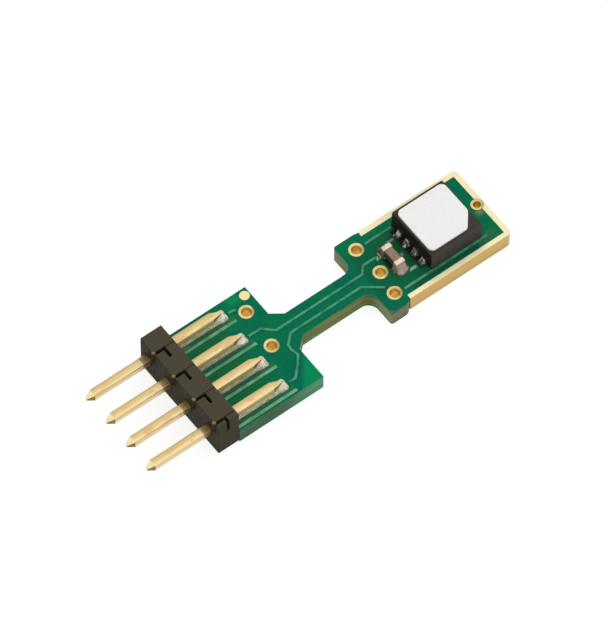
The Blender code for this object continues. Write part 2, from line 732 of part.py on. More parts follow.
def add_membrane(workshop):
    """Filter membrane on the package: round corners, and one corner cut as a key."""
    half = MEMBRANE_SIZE / 2
    x0, x1 = SENSOR_X - half, SENSOR_X + half
    y0, y1 = SENSOR_Y - half, SENSOR_Y + half
    r = MEMBRANE_CORNER
    points = key_corner(Vector((x1 - MEMBRANE_KEY_X, y0)), Vector((x1, y0 + MEMBRANE_KEY_Y)))
    points += arc(x1 - r, y1 - r, r, 0, 90, 5)
    points += arc(x0 + r, y1 - r, r, 90, 180, 5)
    points += arc(x0 + r, y0 + r, r, 180, 270, 5)
    bottom = SENSOR_Z1 + SEAT
    bm = plate_bmesh(points, bottom, bottom + MEMBRANE_THICKNESS)
    bmesh.ops.recalc_face_normals(bm, faces=bm.faces)
    rim = [e for e in bm.edges if all(v.co.z > bottom + MEMBRANE_THICKNESS / 2 for v in e.verts)
           and len({round(f.normal.z, 3) for f in e.link_faces}) > 1]
    bevel(bm, rim, MEMBRANE_ROUNDING)
    workshop.piece("filter_membrane", finish_mesh(bm, "membrane"), "membrane")


def add_capacitor(workshop):
    """Chip capacitor that lies across the board: a ceramic body and two metal end caps."""
    half_x = CAPACITOR_WIDTH / 2
    bottom = TOP + CAPACITOR_STANDOFF
    top = bottom + CAPACITOR_HEIGHT
    wall = END_CAP_WALL
    reach = CAPACITOR_LENGTH / 2 - wall - SEAT
    inner_x = half_x - wall - SEAT
    body = box_mesh("body", (CAPACITOR_X - inner_x, CAPACITOR_Y - reach, bottom + wall + SEAT),
                    (CAPACITOR_X + inner_x, CAPACITOR_Y + reach, top - wall - SEAT), CAPACITOR_ROUNDING)
    workshop.piece("capacitor_body", body, "ceramic")
    for name, side in (("capacitor_end_1", 1), ("capacitor_end_2", -1)):
        y_out = CAPACITOR_Y + side * CAPACITOR_LENGTH / 2
        y0, y1 = span(y_out, y_out - side * END_CAP_LENGTH)
        cap = workshop.piece(name, box_mesh("cap", (CAPACITOR_X - half_x, y0, bottom),
                                            (CAPACITOR_X + half_x, y1, top), CAPACITOR_ROUNDING), "tin")
        y0, y1 = span(y_out - side * wall, y_out - side * (END_CAP_LENGTH + wall))
        inside = box_mesh("cap_inside", (CAPACITOR_X - half_x + wall, y0, bottom + wall),
                          (CAPACITOR_X + half_x - wall, y1, top - wall))
        cut(cap, workshop.cutter(name + "_inside", inside))


def add_capacitor_joints(workshop):
    """Solder that wets the ends and sides of the capacitor."""
    half_x = CAPACITOR_WIDTH / 2
    bottom = TOP + CAPACITOR_STANDOFF
    for number, side in ((1, 1), (2, -1)):
        end = CAPACITOR_Y + side * CAPACITOR_LENGTH / 2
        y0, y1 = span(end + side * CAPACITOR_JOINT_BEYOND, end - side * CAPACITOR_JOINT_UNDER)
        reach = half_x + CAPACITOR_JOINT_SIDE
        mound = mound_mesh("joint", (CAPACITOR_X - reach, y0, ON_BOARD),
                           (CAPACITOR_X + reach, y1, TOP + CAPACITOR_JOINT_HEIGHT), CAPACITOR_JOINT_SLOPE)
        joint = workshop.piece(f"capacitor_solder_{number}", mound, "solder")
        y0, y1 = span(end + side * SEAT, end - side * CAPACITOR_LENGTH / 2)
        room = box_mesh("capacitor_room", (CAPACITOR_X - half_x - SEAT, y0, bottom - SEAT),
                        (CAPACITOR_X + half_x + SEAT, y1, bottom + CAPACITOR_HEIGHT))
        cut(joint, workshop.cutter(f"capacitor_clearance_{number}", room))


def add_sensor_joints(workshop):
    """Solder under and before each sensor terminal."""
    for number, side, y in terminal_places():
        face = SENSOR_X + side * (SENSOR_SIZE / 2 + TERMINAL_PROUD)
        x0, x1 = span(face + side * SENSOR_JOINT_BEYOND, face - side * TERMINAL_LENGTH)
        half = SENSOR_JOINT_WIDTH / 2
        mound = mound_mesh("joint", (x0, y - half, ON_BOARD), (x1, y + half, TOP + SENSOR_JOINT_HEIGHT),
                           SENSOR_JOINT_SLOPE)
        joint = workshop.piece(f"sensor_solder_{number}", mound, "solder")
        x0, x1 = span(face + side * SEAT, face - side * SENSOR_SIZE / 2)
        room = box_mesh("sensor_room", (x0, y - SENSOR_JOINT_WIDTH, SENSOR_Z0 - SEAT),
                        (x1, y + SENSOR_JOINT_WIDTH, SENSOR_Z1))
        cut(joint, workshop.cutter(f"sensor_clearance_{number}", room))


def ribbon_outline(route, width):
    """Outline of a ribbon of even width along a route, with mitred bends and square ends."""
    points = [Vector(p) for p in route]
    left, right = [], []
    for i, point in enumerate(points):
        before = (point - points[i - 1]).normalized() if i else None
        after = (points[i + 1] - point).normalized() if i + 1 < len(points) else None
        along = ((before or after) + (after or before)).normalized()
        across = Vector((-along.y, along.x))
        stretch = 1 / across.dot(Vector((-(after or before).y, (after or before).x)))
        left.append(point + across * width / 2 * stretch)
        right.append(point - across * width / 2 * stretch)
    return [tuple(p) for p in left + right[::-1]]


def track_routes():
    """Name and centre line of each copper track, as (x, y) points."""
    vias = {name: Vector((x, y)) for name, x, y, hole, land in via_places()}
    clear = VIA_LAND / 2 + TRACK_WIDTH
    diagonal = clear / math.sqrt(2)
    pad_end = PAD_X1 + TRACK_WIDTH
    supply_y = pin_y(0) - TRACK_MARGIN
    clock_y = pin_y(1) - TRACK_MARGIN
    data_y = pin_y(3) - TRACK_MARGIN
    end_y = CAPACITOR_Y + CAPACITOR_LENGTH / 2
    end_x = CAPACITOR_X - CAPACITOR_WIDTH / 2 - CAPACITOR_JOINT_SIDE - TRACK_WIDTH
    supply_via, upper_via, lower_via = vias["header_via_1"], vias["head_via_1"], vias["head_via_3"]
    ground_y = SENSOR_Y - SENSOR_SIZE / 2 - TRACK_MARGIN
    return {
        "track_clock": [
            (pad_end, clock_y),
            (HEADER_X1 + CLOCK_LEAVES_PIN, clock_y),
            (HEADER_X1 + CLOCK_JOINS_LANE, TRACK_LANE),
            (HEAD_X0 + CLOCK_LEAVES_LANE, TRACK_LANE),
            (HEAD_X0 + CLOCK_JOINS_CAPACITOR, end_y),
            (end_x, end_y)],
        "track_data": [
            (pad_end, data_y),
            *((HEADER_X1 + past, data_y + up) for past, up in DATA_BENDS),
            (HEADER_X1 + DATA_JOINS_LANE, -TRACK_LANE),
            (HEAD_X0 + DATA_LEAVES_LANE, -TRACK_LANE),
            (lower_via.x - DATA_REACHES_VIA, lower_via.y + clear)],
        "track_supply": [
            (pad_end, supply_y),
            (HEADER_X1 + SUPPLY_LEAVES_PIN, supply_y),
            (supply_via.x - diagonal, supply_via.y + diagonal)],
        "track_sensor_supply": [
            (upper_via.x + clear, upper_via.y),
            (SENSOR_X - SENSOR_SIZE / 2 - TRACK_MARGIN, upper_via.y)],
        "track_sensor_ground": [
            (lower_via.x + clear, ground_y),
            (SENSOR_X + SENSOR_SIZE / 2 + 2 * TRACK_WIDTH, ground_y)],
    }


def ridge_mesh(outline):
    """Low ridge on the board with the given outline."""
    return plate_mesh("ridge", outline, ON_BOARD, ON_BOARD + TRACK_HEIGHT)


def add_tracks(workshop):
    """Tracks, and a narrow copper strip beside each pin pad."""
    for name, route in track_routes().items():
        workshop.piece(name, ridge_mesh(ribbon_outline(route, TRACK_WIDTH)), "green_track")
    for i in range(PIN_COUNT):
        y = pin_y(i) - STRIP_OFFSET
        route = [(PAD_X0, y), (PAD_X1 + STRIP_BEYOND_PAD, y)]
        workshop.piece(f"copper_strip_{i + 1}", ridge_mesh(ribbon_outline(route, STRIP_WIDTH)), "green_track")


def main():
    """Build the whole module."""
    clear_scene()
    workshop = Workshop()
    via_clearances = add_vias(workshop)
    clearances = via_clearances + add_pads(workshop) + add_edge_plating(workshop, via_clearances[-1])
    add_board(workshop, clearances)
    pin_clearances = add_pins(workshop)
    add_housing(workshop)
    add_pin_joints(workshop, pin_clearances)
    add_sensor(workshop)
    add_sensor_joints(workshop)
    add_capacitor(workshop)
    add_capacitor_joints(workshop)
    add_tracks(workshop)


main()
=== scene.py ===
"""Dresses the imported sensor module: lacquer, gold, solder, plastics, light and camera.

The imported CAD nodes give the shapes. The solder joints are built anew here, because molten
solder climbs its neighbours in soft, hollow slopes that plain solids do not show. The board, its
plating, the sensor package, its membrane and the capacitor are recut from their nodes by up to a
tenth of a millimetre, to bring their edges to the photographed places.
"""
import logging
import math
from dataclasses import dataclass
from enum import Enum
from typing import Callable, Dict, List, Optional, Tuple

import bmesh
import bpy
from bmesh.types import BMesh, BMVert
from bpy.types import Material, Node, NodeTree, Object
from mathutils import Matrix, Vector, noise

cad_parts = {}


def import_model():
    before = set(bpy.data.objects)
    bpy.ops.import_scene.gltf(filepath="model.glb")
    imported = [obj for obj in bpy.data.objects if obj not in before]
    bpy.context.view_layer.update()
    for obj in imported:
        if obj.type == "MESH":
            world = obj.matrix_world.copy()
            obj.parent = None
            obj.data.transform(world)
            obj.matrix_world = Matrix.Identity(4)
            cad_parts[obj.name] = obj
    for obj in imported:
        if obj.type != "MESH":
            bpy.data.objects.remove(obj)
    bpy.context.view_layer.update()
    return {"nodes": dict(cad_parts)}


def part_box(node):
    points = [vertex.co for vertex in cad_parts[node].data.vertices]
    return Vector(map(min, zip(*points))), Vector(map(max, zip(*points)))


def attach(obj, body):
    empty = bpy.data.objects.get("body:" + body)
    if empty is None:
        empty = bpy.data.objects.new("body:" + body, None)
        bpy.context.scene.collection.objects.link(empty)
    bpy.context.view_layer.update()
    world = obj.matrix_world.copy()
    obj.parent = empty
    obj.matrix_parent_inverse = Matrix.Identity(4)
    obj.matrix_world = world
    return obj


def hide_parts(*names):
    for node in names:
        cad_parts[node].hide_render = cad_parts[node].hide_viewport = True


LOG = logging.getLogger("sensor_module")
MM = 0.001
MERGE = 0.0001 * MM
PINS = 4
TERMINALS = 8
FAR_SHIFT = 0.105 * MM
RIM_SHIFTS = ((1.45 * MM, 2.5 * MM, FAR_SHIFT), (-1.6 * MM, -1.45 * MM, -0.03 * MM),
              (-1.76 * MM, -1.65 * MM, 0.02 * MM))

Socket = bpy.types.NodeSocket
Colour = Tuple[float, float, float]
Lumps = Tuple[float, float, float]
Point = Tuple[float, float]
Box = Tuple[Vector, Vector]

WHITE: Colour = (1.0, 1.0, 1.0)
# Level direction in which painted shade darkens the rings of the plated holes.
SHADE_WAY: Point = (0.797, -0.604)


def srgb(red: float, green: float, blue: float) -> Colour:
    """Turn display values from 0 to 255 into linear colour.

    Args:
        red: Red as a display shows it.
        green: Green as a display shows it.
        blue: Blue as a display shows it.

    Returns:
        The same colour in linear light.
    """
    def linear(value: float) -> float:
        share = value / 255
        return share / 12.92 if share <= 0.04045 else ((share + 0.055) / 1.055) ** 2.4
    return linear(red), linear(green), linear(blue)


def even(count: float) -> Lumps:
    """The same number of lumps per millimetre along every axis."""
    return count, count, count


class Axis(Enum):
    """Axis of a piece, as its place in a coordinate."""

    X = 0
    Y = 1
    Z = 2


@dataclass(frozen=True)
class Grain:
    """Noise, and the two levels between which it turns from one share into another."""

    lumps: Lumps
    detail: float
    low: float
    high: float
    least: float = 0.0
    most: float = 1.0
    rough: float = 0.5


@dataclass(frozen=True)
class Relief:
    """Noise, or without lumps the surface's own pattern, that is pressed into a surface."""

    lumps: Optional[Lumps] = None
    detail: float = 2.0
    depth: float = 0.01 * MM
    strength: float = 0.5


class Wiring:
    """Adds and joins the nodes of one node tree."""

    def __init__(self, tree: NodeTree) -> None:
        """Keep the tree that the nodes go into."""
        self.tree = tree

    def add(self, kind: str, *sources: object) -> Node:
        """Add a node and fill its first inputs.

        Args:
            kind: Kind of the node.
            sources: An output or a plain value for each of its first inputs.

        Returns:
            The node.
        """
        node = self.tree.nodes.new(kind)
        for socket, source in zip(node.inputs, sources):
            self.feed(socket, source)
        return node

    def feed(self, socket: Socket, source: object) -> None:
        """Join a socket to an output, or set it to a plain value.

        Args:
            socket: The input to fill.
            source: Another node's output, a number, a colour or a vector.
        """
        if isinstance(source, Socket):
            self.tree.links.new(source, socket)
        elif socket.type == "RGBA":
            socket.default_value = (*source, 1.0)
        else:
            socket.default_value = source

    def math(self, operation: str, *numbers: object) -> Socket:
        """Work out one sum.

        Args:
            operation: Name of the sum, as the Math node calls it.
            numbers: Numbers or outputs that go into it.

        Returns:
            The result.
        """
        node = self.add("ShaderNodeMath", *numbers)
        node.operation = operation
        return node.outputs[0]

    def dot(self, vector: Socket, way: Tuple[float, float, float]) -> Socket:
        """Measure a vector along one direction.

        Args:
            vector: The vector.
            way: The direction.

        Returns:
            Their dot product.
        """
        node = self.add("ShaderNodeVectorMath", vector, way)
        node.operation = "DOT_PRODUCT"
        return node.outputs["Value"]

    def seen(self) -> Socket:
        """Tell the rays that show the background: straight, mirrored or through glass.

        Returns:
            Share that is 1 for those rays.
        """
        path = self.add("ShaderNodeLightPath")
        total = path.outputs["Is Camera Ray"]
        for name in ("Is Glossy Ray", "Is Transmission Ray"):
            total = self.math("MAXIMUM", total, path.outputs[name])
        return total


class Bench(Wiring):
    """Makes one material: its patterns, its relief and its shader."""

    def __init__(self, name: str) -> None:
        """Start a material that holds one Principled shader.

        Args:
            name: Name of the material.
        """
        self.material = bpy.data.materials.new(name)
        self.material.use_nodes = True
        super().__init__(self.material.node_tree)
        self.shader = self.tree.nodes["Principled BSDF"]
        coordinates = self.add("ShaderNodeTexCoord").outputs
        self.place = coordinates["Object"]
        self.normal = coordinates["Normal"]
        self.axes = dict(zip(Axis, self.add("ShaderNodeSeparateXYZ", self.place).outputs))

    def ramp(self, value: object, low: float, high: float, to_low: float = 0.0,
             to_high: float = 1.0) -> Socket:
        """Turn one range into another with soft ends.

        Args:
            value: The number to turn.
            low: Where the change starts.
            high: Where the change ends.
            to_low: Result at the start.
            to_high: Result at the end.

        Returns:
            The turned number.
        """
        node = self.add("ShaderNodeMapRange", value, low, high, to_low, to_high)
        node.interpolation_type = "SMOOTHSTEP"
        return node.outputs[0]

    def toward(self, x: float, y: float, z: float) -> Socket:
        """How squarely a face looks in one direction of unit length, from -1 to 1."""
        return self.dot(self.normal, (x, y, z))

    def along(self, way: Point) -> Socket:
        """Distance from the origin in one level direction of unit length."""
        return self.dot(self.place, (*way, 0.0))

    def sideways(self, axis: Axis) -> Socket:
        """Share that is 1 on faces that look either way along an axis."""
        squarely = self.math("ABSOLUTE", self.toward(*(float(axis is other) for other in Axis)))
        return self.ramp(squarely, 0.5, 0.85)

    def cloud(self, lumps: Lumps, detail: float = 2.0, rough: float = 0.5) -> Socket:
        """Soft noise.

        Args:
            lumps: Lumps per millimetre along each axis.
            detail: How many finer layers are added.
            rough: Strength of the finer layers.

        Returns:
            A number that stays near one half.
        """
        stretched = self.add("ShaderNodeMapping", self.place)
        stretched.inputs["Scale"].default_value = [count / MM for count in lumps]
        node = self.add("ShaderNodeTexNoise", stretched.outputs[0])
        for name, value in (("Scale", 1.0), ("Detail", detail), ("Roughness", rough)):
            node.inputs[name].default_value = value
        return node.outputs[0]

    def grain(self, grain: Grain) -> Socket:
        """Share that follows a grain."""
        level = self.cloud(grain.lumps, grain.detail, grain.rough)
        return self.ramp(level, grain.low, grain.high, grain.least, grain.most)

    def mix(self, share: object, first: object, second: object) -> Socket:
        """Blend two colours.

        Args:
            share: How much of the second colour shows.
            first: Colour at share 0.
            second: Colour at share 1.

        Returns:
            The blend.
        """
        node = self.add("ShaderNodeMix", share)
        node.data_type = "RGBA"
        self.feed(node.inputs[6], first)
        self.feed(node.inputs[7], second)
        return node.outputs[2]

    def band(self, axis: Axis, low: float, high: float, soft: float) -> Socket:
        """Share that is 1 between two places along an axis and fades to 0 outside.

        Args:
            axis: Axis to measure along.
            low: Lower place in metres.
            high: Upper place in metres.
            soft: Width of the fade in metres.

        Returns:
            The share.
        """
        rising = self.ramp(self.axes[axis], low - soft, low + soft)
        falling = self.ramp(self.axes[axis], high - soft, high + soft, 1.0, 0.0)
        return self.math("MULTIPLY", rising, falling)

    def patch(self, x: Point, y: Point, soft: float) -> Socket:
        """Soft-edged oblong on the board, in metres."""
        return self.math("MULTIPLY", self.band(Axis.X, *x, soft), self.band(Axis.Y, *y, soft))

    def press(self, relief: Relief, pattern: Optional[Socket] = None) -> None:
        """Press a relief into the surface.

        Args:
            relief: The relief.
            pattern: Height from 0 to 1, for a relief without lumps.
        """
        node = self.add("ShaderNodeBump")
        height = self.cloud(relief.lumps, relief.detail) if relief.lumps else pattern
        for name, value in (("Distance", relief.depth), ("Strength", relief.strength), ("Height", height)):
            self.feed(node.inputs[name], value)
        self.feed(self.shader.inputs["Normal"], node.outputs[0])

    def finish(self, colour: object, roughness: object, metallic: object = 0.0,
               specular: float = 0.5) -> Material:
        """Set the shader's main values.

        Args:
            colour: Base colour.
            roughness: Roughness.
            metallic: 1 for bare metal.
            specular: Strength of a non-metal's shine.

        Returns:
            The finished material.
        """
        for name, value in (("Base Color", colour), ("Roughness", roughness), ("Metallic", metallic),
                            ("Specular IOR Level", specular)):
            self.feed(self.shader.inputs[name], value)
        return self.material


@dataclass(frozen=True)
class Mark:
    """Soft-edged oblong of one colour on the upper face of the board, in millimetres.

    A mark with a way only shows past a slanted line, which lies across that way.
    """

    paint: Colour
    x: Point
    y: Point
    soft: float
    share: float
    way: Optional[Point] = None
    line: Point = (0.0, 0.0)

    def area(self, bench: Bench) -> Socket:
        """Lay the mark out on a board.

        Args:
            bench: The bench of the board's material.

        Returns:
            How much of the mark's colour shows.
        """
        x, y, line = (tuple(value * MM for value in pair) for pair in (self.x, self.y, self.line))
        area = bench.patch(x, y, self.soft * MM)
        if self.way:
            area = bench.math("MULTIPLY", bench.ramp(bench.along(self.way), *line), area)
        return bench.math("MULTIPLY", area, self.share)


@dataclass(frozen=True)
class BoardFinish:
    """Green lacquer on the faces of the board and cut glass fibre on its edges, with painted shade, shadow
    and highlights among its marks and on its edges.
    """

    top: float
    neck: Point
    pad_end: float
    strips: Tuple[float, ...]
    skin: float = 0.012 * MM
    lacquer: Colour = srgb(0, 108, 70)
    cool: Colour = srgb(0, 99, 77)
    bright: Colour = srgb(0, 140, 88)
    shaded: Colour = srgb(62, 98, 68)
    painted_shade: Colour = srgb(14, 84, 46)
    brown: Colour = srgb(22, 106, 60)
    painted_shadow: Colour = srgb(30, 34, 20)
    fleck_and_glint: Colour = srgb(164, 196, 176)
    olive: Colour = srgb(124, 132, 87)
    edge_shade_band: Colour = srgb(92, 108, 80)
    edge_header: Colour = srgb(86, 148, 109)
    edge_shaded: Colour = srgb(60, 102, 76)
    edge_neck: Colour = srgb(116, 127, 68)
    edge_wing: Colour = srgb(112, 118, 88)
    edge_end_lit: Colour = srgb(150, 172, 126)
    edge_dark: Colour = srgb(52, 78, 50)
    clouds: Grain = Grain(even(0.9), 3.0, 0.38, 0.66)
    freckles: Grain = Grain(even(5), 2.0, 0.35, 0.75, 0.0, 0.18)
    layers: Grain = Grain((0.45, 0.45, 8.0), 3.0, 0.42, 0.7, 0.0, 0.65)
    gloss: Grain = Grain(even(3), 2.0, 0.3, 0.7, 0.34, 0.46)
    relief: Relief = Relief(even(6), 3.0, 0.004 * MM)
    specular: float = 0.05
    shade_end: Point = (-2.9 * MM, -1.3 * MM)
    edge_turn: float = 0.15 * MM
    marks: Tuple[Mark, ...] = (
        Mark(bright, (-1.9, -1.35), (2.1, 2.6), 0.15, 0.8),
        Mark(brown, (-4.9, -2.7), (-2.5, 2.2), 0.15, 0.8),
        # Painted shade on the head, deepest between the capacitor and the sensor package.
        Mark(painted_shade, (3.0, 5.2), (-1.2, 1.2), 0.15, 0.5),
        Mark(painted_shade, (4.7, 5.0), (-0.8, 0.95), 0.05, 0.8),
        # Painted shadow beside the package's -X side, left of the capacitor and along the head's -Y side.
        Mark(painted_shadow, (4.98, 5.3), (-0.9, 1.1), 0.07, 0.97),
        Mark(painted_shadow, (4.0, 4.2), (-0.4, 0.6), 0.05, 0.85),
        Mark(painted_shadow, (4.2, 7.3), (-1.52, -1.3), 0.08, 0.4),
        Mark(shaded, (7.4, 8.3), (-1.52, -1.1), 0.12, 0.45),
        Mark(olive, (8.16, 8.44), (-0.36, -0.12), 0.1, 0.75),
        # Pale flecks of solder and track edges, brightened with painted highlights.
        Mark(fleck_and_glint, (4.6, 4.92), (0.74, 0.82), 0.04, 0.55),
        Mark(fleck_and_glint, (4.69, 4.83), (-0.04, 0.1), 0.05, 0.4),
        Mark(fleck_and_glint, (3.84, 3.98), (0.36, 0.52), 0.04, 0.6),
        Mark(fleck_and_glint, (-4.45, -4.1), (1.6, 1.7), 0.04, 0.45),
        Mark(fleck_and_glint, (4.55, 4.9), (-0.77, -0.66), 0.04, 0.85),
        Mark(bright, (-3.0, -0.5), (-3.0, -1.3), 0.15, 0.75, way=(0.81, -0.59), line=(-0.12, 0.1)),
        # Painted shade along the rounded upper edge at the wing's corner.
        Mark(edge_shade_band, (2.8, 3.4), (-1.9, -1.5), 0.05, 0.8, way=(-0.707, -0.707), line=(-0.88, -0.82)))

    def build(self) -> Material:
        """Make the material.

        Returns:
            Lacquer above and below, fibre layers between.
        """
        bench = Bench("board_lacquer_and_fibre")
        edges = bench.band(Axis.Z, self.skin, self.top - self.skin, self.skin / 2)
        colour = bench.mix(edges, self.face(bench), self.edge(bench))
        bench.press(self.relief)
        return bench.finish(colour, bench.grain(self.gloss), 0.0, self.specular)

    def face(self, bench: Bench) -> Socket:
        """Paint the two faces.

        Args:
            bench: The material's bench.

        Returns:
            Cloudy lacquer below, with the marks, painted shade and highlights among them, and the shaded
            strips above.
        """
        plain = bench.mix(bench.grain(self.clouds), self.lacquer, self.cool)
        plain = bench.mix(bench.grain(self.freckles), plain, self.bright)
        colour = plain
        shades = [Mark(self.shaded, (-6.0, self.pad_end / MM), (y / MM + 0.06, y / MM + 0.17), 0.025, 0.65)
                  for y in self.strips]
        for mark in (*self.marks, *shades):
            colour = bench.mix(mark.area(bench), colour, mark.paint)
        upper = bench.ramp(bench.axes[Axis.Z], 0.4 * self.top, 0.6 * self.top)
        return bench.mix(upper, plain, colour)

    def edge(self, bench: Bench) -> Socket:
        """Colour the cut edges.

        Args:
            bench: The material's bench.

        Returns:
            Fibre layers, green at the header and browner at the neck and the wings, darker near the
            housing as painted shade, and painted lighter on the wings' walls that look along X.
        """
        x = bench.axes[Axis.X]
        start, end = self.neck
        colour = bench.mix(bench.ramp(x, *self.shade_end), self.edge_shaded, self.edge_header)
        turn = bench.ramp(x, start - self.edge_turn, start + self.edge_turn)
        colour = bench.mix(turn, colour, self.edge_neck)
        # Painted light: the wing's edges that look along X are lighter than those that look along Y.
        wing = bench.mix(bench.sideways(Axis.X), self.edge_wing, self.edge_end_lit)
        colour = bench.mix(bench.ramp(x, end - self.edge_turn, end + self.edge_turn), colour, wing)
        return bench.mix(bench.grain(self.layers), colour, self.edge_dark)


@dataclass(frozen=True)
class GoldFinish:
    """Thin gold over copper, streaked along the piece: its top painted pale as lit gold, its walls warmer
    and darker as shaded gold, and darker still towards their foot.

    Where a start is given, painted shade darkens the top past it in one level direction: the shaded side
    of each plated hole's ring.
    """

    name: str
    top: float
    pale: Colour = srgb(244, 238, 190)
    blush: Colour = srgb(246, 228, 186)
    warm: Colour = srgb(196, 161, 76)
    rosy: Colour = srgb(204, 158, 88)
    low: Colour = srgb(172, 154, 96)
    ring_shade: Colour = srgb(122, 102, 42)
    roughness: Point = (0.24, 0.38)
    streaks: Grain = Grain((0.7, 6.0, 6.0), 3.0, 0.4, 0.62)
    patches: Grain = Grain(even(1.3), 2.0, 0.42, 0.64)
    relief: Relief = Relief(even(12), 2.0, 0.002 * MM)
    skin: float = 0.012 * MM
    low_share: float = 0.8
    top_metallic: float = 0.2
    shade_from: float = 0.0
    shade_soft: float = 0.1 * MM
    shade_share: float = 0.6

    def build(self) -> Material:
        """Make the material.

        Returns:
            Streaked gold in painted light and shade.
        """
        bench = Bench(self.name)
        height = bench.axes[Axis.Z]
        streaks = bench.grain(self.streaks)
        # The walls are painted as shaded gold and the top as lit gold.
        walls = bench.mix(streaks, self.warm, self.rosy)
        foot = bench.ramp(height, 0.1 * self.top, 0.4 * self.top, self.low_share, 0.0)
        walls = bench.mix(foot, walls, self.low)
        face = bench.mix(bench.grain(self.patches), self.pale, self.blush)
        # Painted shade on one side of the ring.
        if self.shade_from:
            past = bench.ramp(bench.along(SHADE_WAY), self.shade_from, self.shade_from + self.shade_soft)
            face = bench.mix(bench.math("MULTIPLY", past, self.shade_share), face, self.ring_shade)
        upper = bench.ramp(height, self.top - 2 * self.skin, self.top - self.skin)
        bench.press(self.relief)
        return bench.finish(bench.mix(upper, walls, face), bench.ramp(streaks, 0.0, 1.0, *self.roughness),
                            bench.ramp(upper, 0.0, 1.0, 1.0, self.top_metallic))


@dataclass(frozen=True)
class PinFinish:
    """Gold on the header pins: a painted highlight along each, rubbed pink patches, and sides, tips and
    ends in painted shades.
    """

    low: Vector
    high: Vector
    pitch: float
    front: float
    back: float
    ridge_highlight: Colour = srgb(250, 224, 170)
    cream: Colour = srgb(230, 202, 144)
    brim_shade: Colour = srgb(190, 170, 122)
    pink: Colour = srgb(226, 178, 128)
    yellow: Colour = srgb(214, 190, 118)
    side_upper: Colour = srgb(214, 190, 140)
    side_lower: Colour = srgb(226, 210, 172)
    board_upper: Colour = srgb(220, 192, 131)
    board_lower: Colour = srgb(190, 175, 124)
    recess_shade: Colour = srgb(150, 124, 76)
    tip_face_lit: Colour = srgb(242, 226, 175)
    tip_side_shade: Colour = srgb(124, 110, 60)
    wedge_shade: Colour = srgb(146, 98, 62)
    rubbed: Grain = Grain((1.6, 3, 3), 2.0, 0.5, 0.64, 0.0, 0.7)
    drawn: Grain = Grain((0.6, 12, 12), 2.0, 0.44, 0.68, 0.0, 0.5)
    gloss: Grain = Grain((0.6, 9, 9), 2.0, 0.42, 0.68, 0.24, 0.34)
    relief: Relief = Relief((2, 14, 14), 2.0, 0.001 * MM)
    recess: Point = (0.38 * MM, 0.3 * MM)
    recess_shade_share: float = 0.9
    dull_from: float = 0.6 * MM
    dull_share: float = 0.6
    dull_metallic: float = 0.2
    soft: float = 0.1 * MM

    def build(self) -> Material:
        """Make the material.

        Returns:
            Gold that changes along each pin, from the free end to the board end.
        """
        bench = Bench("pin_gold")
        x = bench.axes[Axis.X]
        side = bench.sideways(Axis.Y)
        on_board = bench.ramp(x, self.back - self.soft, self.back + self.soft)
        # The sides take their own painted shades, apart from the top.
        colour = bench.mix(side, self.upper_face(bench), self.side_face(bench, on_board))
        # Painted shade on the pins from just before the housing's front to its back.
        shaded_near = bench.ramp(x, *(self.front - before for before in self.recess))
        shaded_near = bench.math("MULTIPLY", bench.math("SUBTRACT", shaded_near, on_board), self.recess_shade_share)
        colour = bench.mix(shaded_near, colour, self.recess_shade)
        # Painted light on the free tips' end faces, painted shade on their sides.
        free_tip = bench.ramp(bench.toward(-1, 0, 0), 0.22, 0.34)
        colour = bench.mix(free_tip, colour, bench.mix(side, self.tip_face_lit, self.tip_side_shade))
        # Painted shade on the slanted side facets at the pins' board ends.
        board_tip = bench.math("MULTIPLY", bench.ramp(bench.toward(1, 0, 0), 0.14, 0.24), side)
        colour = bench.mix(board_tip, colour, self.wedge_shade)
        bench.press(self.relief)
        beside = bench.band(Axis.X, self.front - self.dull_from, self.front + self.soft, 1.5 * self.soft)
        held = bench.math("MAXIMUM", bench.math("MULTIPLY", side, on_board),
                          bench.math("MULTIPLY", beside, self.dull_share))
        metallic = bench.ramp(held, 0.0, 1.0, 1.0, self.dull_metallic)
        return bench.finish(colour, bench.grain(self.gloss), metallic)

    def upper_face(self, bench: Bench) -> Socket:
        """Colour the top of a pin.

        Args:
            bench: The material's bench.

        Returns:
            A painted highlight along one side of the top that turns to painted shade at the other, with
            rubbed patches and drawn lines.
        """
        half = (self.high.y - self.low.y) / 2
        across = bench.math("SUBTRACT", bench.axes[Axis.Y], self.low.y + half)
        across = bench.math("WRAP", across, self.pitch / 2, -self.pitch / 2)
        # Painted highlight along the -Y side of the top, painted shade along the +Y side.
        colour = bench.mix(bench.ramp(across, -0.6 * half, 0.05 * half), self.ridge_highlight, self.cream)
        colour = bench.mix(bench.ramp(across, 0.1 * half, 0.95 * half), colour, self.brim_shade)
        colour = bench.mix(bench.grain(self.rubbed), colour, self.pink)
        return bench.mix(bench.grain(self.drawn), colour, self.yellow)

    def side_face(self, bench: Bench, on_board: Socket) -> Socket:
        """Colour the sides of a pin, in painted shades of its gold.

        Args:
            bench: The material's bench.
            on_board: Share that is 1 on the side of the housing where the board lies.

        Returns:
            Pale gold where the pin stands free, browner gold beside its solder.
        """
        height = bench.ramp(bench.axes[Axis.Z], self.low.z + 0.02 * MM, self.high.z - 0.06 * MM)
        free = bench.mix(height, self.side_lower, self.side_upper)
        held = bench.mix(height, self.board_lower, self.board_upper)
        return bench.mix(on_board, free, held)


